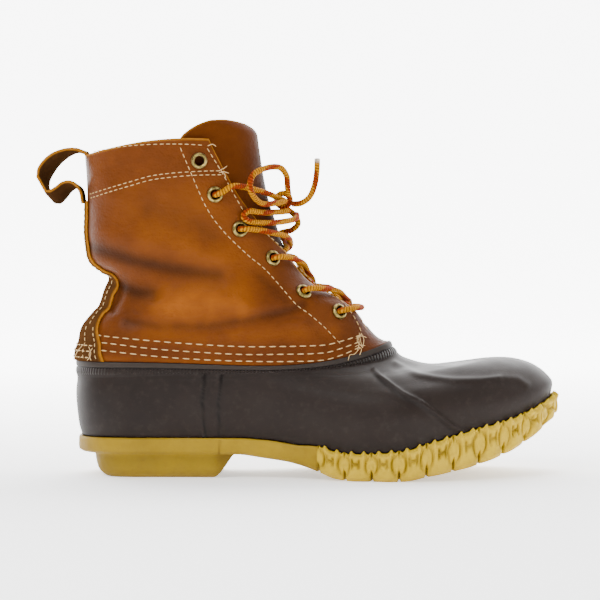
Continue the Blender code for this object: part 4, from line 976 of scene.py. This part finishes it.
def build_outsole():
    turn, phase = stations()
    lobed = ~np.isnan(phase)
    p = np.where(lobed, phase, 0)
    off = 1 - np.abs(p)
    bulge = np.where(lobed, np.sqrt(held(1 - p * p)), 0)
    notch = np.where(lobed, bell(off, 0.07), 0)
    share = (bare(turn, 0.0)[:, 0] + HEEL_CENTRE) / LENGTH
    low, high = underside(share), feather(share) - SOLE_GAP
    number = np.arange(len(turn))
    vary = np.sin(number * 0.047 + 1.0)
    sign_place = np.abs(p + 0.16 * np.sin(number * 0.021))
    beside = off / (0.40 + 0.05 * vary)
    top_bumps = bell(np.abs(p) - 0.46, 0.17) + 1.1 * bell(off, 0.17)
    lift = LOBE_RISE * 0.9 * (bulge - 0.35) + 0.0024 * (top_bumps - 0.45)
    x_place, y_place = outline(turn, SOLE_MARGIN)[:, :2].T
    margins = (-0.0002, 0.9 * SOLE_MARGIN, SOLE_MARGIN, SOLE_MARGIN, 0.75 * SOLE_MARGIN)
    loops, grooves, lows = [], [], []

    def add(margin, z, groove, floor=1.0):
        place = outline(turn, margin)
        place[:, 2] = z
        loops.append(place)
        grooves.append(np.broadcast_to(groove, turn.shape))
        lows.append(np.full(turn.shape, floor))

    add(-LUG_WIDTH - GROOVE_WIDTH, low, 0.3)
    add(-LUG_WIDTH, low + np.where(lobed, GROOVE_DEPTH, 0), 0.8)
    add(-LUG_WIDTH + GROOVE_WIDTH, low + np.where(lobed, NOTCH_DEPTH * notch, 0), 0.2)
    for h in np.linspace(0, 1, WALL_STEPS):
        z = low + (high - low) * h
        z = z + np.where(lobed, lift * h**3 + NOTCH_DEPTH * 1.2 * notch * (1 - h) ** 2, 0)
        # The chain's links, with a sign on each and an arc over it
        over = (h - 0.58) / 0.30
        reach = np.hypot(beside, over)
        link = np.where(lobed, np.exp(-(reach**4)), 0)
        sides = beside**2 / (beside**2 + over**2 + 0.02)
        arc = bell(reach - 1.18, 0.2) * (0.3 + 0.7 * sides) * (0.85 + 0.15 * vary)
        post = bell(sign_place - 0.25, 0.10) * np.exp(-(((h - 0.64) / 0.17) ** 4))
        sign = np.maximum(post, bell(h - 0.64, 0.065) * (sign_place < 0.26)) * (0.9 - 0.15 * vary)
        cut = np.where(lobed, held(np.maximum(sign, arc)), 0)
        split = notch * (1 - link)
        swollen = np.maximum(bulge, 0.72 * link) + 0.25 * np.cos(3.0 * p + vary) * (1 - link)
        plain = np.interp(h, (0, 0.14, 0.3, 0.9, 1.0), margins)
        swell = np.interp(h, (0, 0.14, 0.5, 0.9, 1.0), (0.5, 0.85, 1.0, 0.75, 0.2))
        margin = plain + swell * LOBE_BULGE * 1.1 * swollen - 0.0024 * cut - 0.0028 * split
        margin = margin + np.where(lobed, 0.0017 * (top_bumps - 0.2) * held((h - 0.68) / 0.2), 0)
        # The joint at the shank's end and the ticks along the seat band
        seen = side_view(np.stack((x_place, y_place, z), -1))
        joint = soft_line(*seen, ((210, 504), (208.8, 518.2)), 1.0)
        ticks = soft_line(*seen, ((120, 517), (192, 517)), 1.3) * (np.sin(x_place * math.tau / 0.0028) > 0.2)
        cut = np.maximum(np.maximum(cut, joint), 0.4 * ticks)
        # The cut signs, arcs, joint, ticks and splits get painted shade through groove
        add(margin - 0.0008 * joint, z, held(0.85 * cut + split * 0.9), max(0.0, 1 - h * 3.2))
    add(0.3 * SOLE_MARGIN, high, 0.6)
    faces = stack_faces(len(loops), len(turn))
    look("outsole", loops, faces, SOLE, "tan_rubber", groove=grooves, low=lows, lobe=lobed)


def build_heel():
    top = HEEL_HEIGHT - GAP
    walk = 0.5 * np.arange(801) / 800
    along = bare(walk, 0.0)[:, 0]
    loops = []
    for z, inset, worn in HEEL_LOOPS:
        height, inset, worn = min(z * HEEL_HEIGHT, top), inset * HEEL_EDGE, worn * MM
        breast = BREAST_PLACE * LENGTH - HEEL_CENTRE - BREAST_SLOPE * (top - height) / top - inset / 2
        last_turn = float(np.interp(breast + HEEL_INSET, along, walk))
        turn = last_turn * (np.arange(1, HEEL_STEPS) / (HEEL_STEPS - 1)) ** 0.8
        back = (HEEL_BACK_INSET - HEEL_INSET + worn) * held(1 - turn / (0.5 * last_turn)) ** 2
        halves = []
        for side in (1, -1):
            half = outline(side * turn, -HEEL_INSET - inset)
            half[:, 0] = np.minimum(half[:, 0] + back, breast)
            half[-1, 0] = breast
            halves.append(half)
        start = outline(np.zeros(1), -HEEL_BACK_INSET - inset - worn)
        middle = (halves[0][-1:] + halves[1][-1:]) / 2
        loops.append(np.concatenate((start, halves[0], middle, halves[1][::-1])))
        loops[-1][:, 2] = height
    points = np.stack(loops)
    rows, around = points.shape[:2]
    paint = tan_rubber_paint("heel_rubber_look", (147, 118, 7), (120, 95, 3))
    # Painted shade on the breast, the heel's front face, and its front corners
    groove = held((points[..., 0] - 0.034) / 0.006) * 0.75
    low = np.repeat([max(0.0, 1 - row[0] * 1.8) for row in HEEL_LOOPS], around)
    look("heel", points, stack_faces(rows, around), paint, "tan_rubber", groove=groove, low=low)


def build_eyelets():
    back = -LEATHER_WALL - EYELET_SEAT
    # Around the rim and back through the hole: radius, height, and how much painted shade darkens it there
    profile = (
        (EYELET_HOLE, EYELET_RIM * 0.55, 1.0), (EYELET_HOLE + 0.0003, EYELET_RIM * 0.86, 0.35),
        (0.72 * EYELET_RADIUS, EYELET_RIM, 0.0), (0.86 * EYELET_RADIUS, EYELET_RIM * 0.86, 0.0),
        (0.97 * EYELET_RADIUS, EYELET_RIM * 0.5, 0.0), (EYELET_RADIUS, 0.0002, 0.4),
        (EYELET_HOLE + 0.0005, 0.0001, 1.0), (EYELET_HOLE + 0.0005, back + 0.0006, 1.0),
        (0.9 * EYELET_RADIUS, back + 0.0006, 0.3), (0.75 * EYELET_RADIUS, back + 0.0002, 0.3),
        (EYELET_HOLE, back + 0.0002, 1.0),
    )
    faces = grid_faces(len(profile), EYELET_SIDES, True)
    deep = np.repeat([shade for _, _, shade in profile], EYELET_SIDES)
    angle = math.tau * np.arange(EYELET_SIDES)[:, None] / EYELET_SIDES
    for number, (turn, level) in enumerate(EYELET_SPOTS, 1):
        for name, place in (("lateral", turn), ("medial", 1 - turn)):
            centre, out = leather_surf(place, level), outward(place, level)
            side = unit(np.cross(out, (0.0, 0.0, 1.0)))
            ring = np.cos(angle) * side + np.sin(angle) * np.cross(side, out)
            points = [centre + out * height + radius * ring for radius, height, _ in profile]
            look(f"eyelet_{name}_{number}", points, faces, BRASS, "aged_brass", hollow=deep)


def tube(name, path, replaces=(), radius=LACE_RADIUS, material=LACE, sides=16, tip=0.0):
    """A round tube along a path, with rounded ends and its own distances for the weave."""
    tangent = unit(np.gradient(path, axis=0))
    away = unit(np.cross(tangent[0], (0.31, 0.87, 0.38)))
    along = walked(path)
    angle = math.tau * np.arange(sides)[:, None] / sides
    radii = np.full(len(path), radius)
    radii[-1] = radii[0] = 0.6 * radius
    rings = []
    for point, direction, r in zip(path, tangent, radii):
        away = unit(away - direction * np.dot(away, direction))
        rings.append(point + r * (np.cos(angle) * away + np.sin(angle) * np.cross(direction, away)))
    frayed = held((along - along[-1] + 0.0035) / 0.002) * tip
    data = {"along": np.repeat(along, sides), "turned": np.arange(sides) / sides}
    data["tip"] = np.repeat(frayed, sides)
    return mesh_piece(name, rings, tube_faces(len(path), sides), material, data, replaces)


def threaded(number, side, out=0.0022):
    """The lace's way out of an eyelet, on the lateral side for -1 and on the medial side for 1."""
    turn, level = EYELET_SPOTS[number - 1]
    hole = 0.5 + side * (0.5 - turn)
    ways = ((hole, -0.0042), (hole, -0.0008), (hole - side * 0.001, out))
    return [leather_surf(place, level, offset) for place, offset in ways]


def crossing(upper, lower, side, over):
    """The route of one arm: up through its eyelet, over the throat's edge, under the other side."""
    turn, level = EYELET_SPOTS[upper - 1]
    below = EYELET_SPOTS[lower - 1][1]
    gap = throat_gap(level)
    inset = 0.5 - turn - gap
    route = threaded(upper, side)
    for share, down, offset in ((0.78, 0.02, 0.0036), (0.45, 0.08, 0.0033)):
        route.append(leather_surf(0.5 + side * (gap + inset * share), level - down, offset))
    for share, down, offset in (
        (1.0, 0.12, 0.0030), (0.55, 0.27, 0.0012 + over), (0.0, 0.45, CROSS_OFFSET + over),
        (-0.55, 0.66, -0.0008 + over * 0.5), (-1.06, 0.82, -0.0032),
    ):
        at = level + (below - level) * down
        route.append(surf(0.5 + side * share * throat_gap(at), at, offset))
    return route


def build_laces():
    for upper, lower in ((3, 4), (4, 5), (5, 6)):
        for side, over, name in ((-1, 0.0017, "a"), (1, -0.0015, "b")):
            path = smooth_line(crossing(upper, lower, side, over), LACE_ROWS)
            tube(f"lace_cross_{upper}_{name}_look", path, (f"lace_cross_{upper}",))
    turn, level = EYELET_SPOTS[5]
    gap = throat_gap(level)
    arms = []
    for side in (-1, 1):
        arms.append(threaded(6, side))
        for share, offset in ((gap + (0.5 - turn - gap) * 0.6, 0.0038), (gap, 0.0034)):
            arms[-1].append(leather_surf(0.5 + side * share, level, offset))
    path = smooth_line([*arms[0], surf(0.5, level, 0.0026), *reversed(arms[1])], 110)
    tube("lace_bar_low_look", path, ("lace_bar_low",))
    turn, level = EYELET_SPOTS[1]
    half = [*threaded(2, -1, 0.0024), leather_surf(turn + 0.012, level + 0.1, 0.0042), *TOP_BAR]
    other = [(x, -y, z) for x, y, z in reversed(half)]
    tube("lace_bar_top_look", smooth_line([*half, KNOT_PLACE, *other], 150), ("lace_bar_top",))


def build_bow():
    knot = np.array(KNOT_PLACE)
    radius = 2 * LACE_RADIUS + 2 * GAP
    share = np.linspace(0, 1, 61)
    angle = math.tau * KNOT_TURNS * share
    along = (share - 0.5) * KNOT_TURNS * radius
    wraps = np.stack((radius * np.cos(angle), along, radius * np.sin(angle)), -1)
    wound = tube("lace_knot_look", knot + wraps, ("lace_knot",))
    for name, places in BOW.items():
        end = "knot" if "loop" in name else "bare"
        path = smooth_line(knot + np.array(places) * MM, LACE_ROWS)
        made = tube(f"{name}_look", path, (name,), tip=1.0 if end == "bare" else 0.0)


def stitch_shape():
    """A stitch as (along, sideways, up), in lengths and widths, and its faces: tip, three rings, tip."""
    points = [(-0.5, 0.0, -0.2)]
    for along, wide in ((-0.33, 0.40), (0.0, 0.5), (0.33, 0.40)):
        for angle in math.tau * np.arange(STITCH_SIDES) / STITCH_SIDES:
            up = math.sin(angle) * wide + 0.25 + 0.2 * (1 - abs(2 * along))
            points.append((along, math.cos(angle) * wide, up))
    points.append((0.5, 0.0, -0.2))
    faces = []
    first, second, third, end = 1, 1 + STITCH_SIDES, 1 + 2 * STITCH_SIDES, 1 + 3 * STITCH_SIDES
    for k in range(STITCH_SIDES):
        n = (k + 1) % STITCH_SIDES
        faces += [(0, first + n, first + k), (end, third + k, third + n)]
        faces += [(a + k, a + n, b + n, b + k) for a, b in ((first, second), (second, third))]
    return np.array(points), faces


def build_stitches(half):
    routes = []
    for line, pitch, width in STITCH_ROWS:
        turn, level = locate(smooth_line(line, 60))
        routes += [(turn, level, pitch, 0.0, width), (1 - turn, level, pitch, 0.0, width)]
    base, lift = LEVEL["seam"], STRIP_WALL + 0.0004
    for side in (-1, 1):
        for low, high, count, inset in (
            (base + 3.2, LEVEL["shaft_mid"] - 0.15, 70, 0.72), (base + 0.35, base + 3.1, 40, 0.90),
            (base + 0.35, base + 3.1, 40, 0.62),
        ):
            levels = np.linspace(low, high, count)
            routes.append((side * half(levels) * inset, levels, 0.0036, lift, 0.6))
    for row in (0.55, 1.15, 1.75):
        routes.append((np.linspace(-0.08, 0.08, 40), np.full(40, base + row), 0.0045, lift, 0.75))
    shape, shape_faces = stitch_shape()
    x, y, z = shape.T[..., None]
    stitches = []
    for turn, level, pitch, lift, width in routes:
        path, normal = leather_surf(turn, level, lift), outward(turn, level)
        along = walked(path)
        marks = np.arange(pitch / 2, along[-1], pitch)
        marks = marks + 0.06 * pitch * np.sin(marks * 3000)

        def read(values, shift=0.0):
            return np.stack([np.interp(marks + shift, along, column) for column in values.T], -1)[:, None]

        ahead, up = unit(read(path, 0.0008) - read(path, -0.0008)), unit(read(normal))
        aside = unit(np.cross(up, ahead))
        length, width = pitch * 0.8, width * MM
        stitches.append(read(path) + ahead * x * length + aside * y * width + up * z * width)
    points = np.concatenate(stitches)
    faces = [tuple(i * len(shape) + v for v in face) for i in range(len(points)) for face in shape_faces]
    tips = np.abs(shape[:, 0]) == 0.5
    mesh_piece("stitching_look", points, faces, THREAD, {"tip": tips})
    for number, (line, stand) in enumerate(LOOSE_THREADS, 1):
        turn, level = locate(smooth_line(line, THREAD_ROWS))
        rise = stand * MM * np.linspace(0.2, 1, THREAD_ROWS) ** 2 + STRIP_WALL * (turn < 0.11)
        path = leather_surf(turn, level, 0.0004 + rise)
        tube(f"loose_thread_{number}", path, radius=THREAD_RADIUS, material=THREAD, sides=6)


# The floor: it runs back flat, then up in a bend. It shines more and more towards the back
FLOOR_FRONT, FLOOR_FLAT, FLOOR_BEND, FLOOR_TOP, FLOOR_SIDE = -3.0, 1.4, 1.2, 6.0, 7.0
FLOOR_GLOW = (0.75, 6.0)
WORLD_LIGHT = 0.42
WHITE = (1.0, 1.0, 1.0, 1.0)
# Lamps: name, place, aim, size, power
LAMPS = (
    ("key", (-0.5, -1.0, 1.1), (0.08, 0.0, 0.10), 0.6, 20.0),
    ("fill", (1.2, -0.9, 0.7), (0.10, 0.0, 0.08), 0.9, 6.0),
    ("top", (0.2, 0.3, 1.5), (0.08, 0.0, 0.05), 0.8, 14.0),
)
# The camera looks at the side view, and this spot of it is in the middle of the picture
CAMERA_SPOT = (281.5, 378.5)
CAMERA_ZOOM = 1.12
SENSOR = 36.0


def studio():
    bend = FLOOR_BEND
    angles = np.linspace(0, math.pi / 2, 24)
    side = [(FLOOR_FLAT + bend * math.sin(a), bend - bend * math.cos(a)) for a in angles]
    side = [(FLOOR_FRONT, 0.0), *side, (FLOOR_FLAT + bend, FLOOR_TOP)]
    points = [(x, y, z) for y, z in side for x in (-FLOOR_SIDE, FLOOR_SIDE)]
    sweep = bpy.data.meshes.new("floor")
    sweep.from_pydata(points, [], [(2 * i, 2 * i + 1, 2 * i + 3, 2 * i + 2) for i in range(len(side) - 1)])
    sweep.shade_smooth()
    floor = placed("floor", sweep)
    p = Paint("floor_look")
    glow = p.span(p.node("SeparateXYZ", 1, {0: p.place}), 0.0, 1.0, *FLOOR_GLOW)
    p.fill(p.shader, {"Emission Color": WHITE, "Emission Strength": glow})
    greys = {"A": (0.94, 0.94, 0.94, 1), "B": (0.95, 0.95, 0.95, 1)}
    p.colour = p.node("Mix", "Result", {"Factor": p.noise(3, 2), **greys}, data_type="RGBA")
    sweep.materials.append(p.finish(0.9))
    world = bpy.data.worlds.new("studio")
    bpy.context.scene.world = world
    world.use_nodes = True
    sky = world.node_tree.nodes["Background"].inputs
    sky["Color"].default_value, sky["Strength"].default_value = WHITE, WORLD_LIGHT
    for name, place, aim, size, power in LAMPS:
        lamp = bpy.data.lights.new(name, "AREA")
        lamp.size, lamp.energy = size, power
        made = placed(name, lamp)
        made.location = place
        made.rotation_euler = (Vector(aim) - Vector(place)).to_track_quat("-Z", "Y").to_euler()


def camera():
    lens = bpy.data.cameras.new("camera")
    lens.sensor_width = SENSOR
    lens.lens = SENSOR * VIEW_FAR / (VIEW_STEPS * VIEW_STEP) * CAMERA_ZOOM
    lens.shift_x = (CAMERA_SPOT[0] - VIEW_CENTRE) * CAMERA_ZOOM / VIEW_STEPS
    lens.shift_y = -(CAMERA_SPOT[1] - VIEW_CENTRE) * CAMERA_ZOOM / VIEW_STEPS
    made = placed("camera", lens)
    made.location = (VIEW_MIDDLE - HEEL_CENTRE, -VIEW_FAR, VIEW_HEIGHT)
    made.rotation_euler = (math.radians(90), 0, 0)
    bpy.context.scene.camera = made


camera()
build_bow()
build_laces()
studio()
build_shell()
build_leather()
build_tongue()
strip_half = build_backstay()
build_pull_loop()
build_outsole()
build_heel()
build_eyelets()
build_stitches(strip_half)
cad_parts["insole"].data.materials.clear()
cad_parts["insole"].data.materials.append(board_paint())

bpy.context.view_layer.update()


def plain(box):
    return [[float(x) for x in corner] for corner in box]
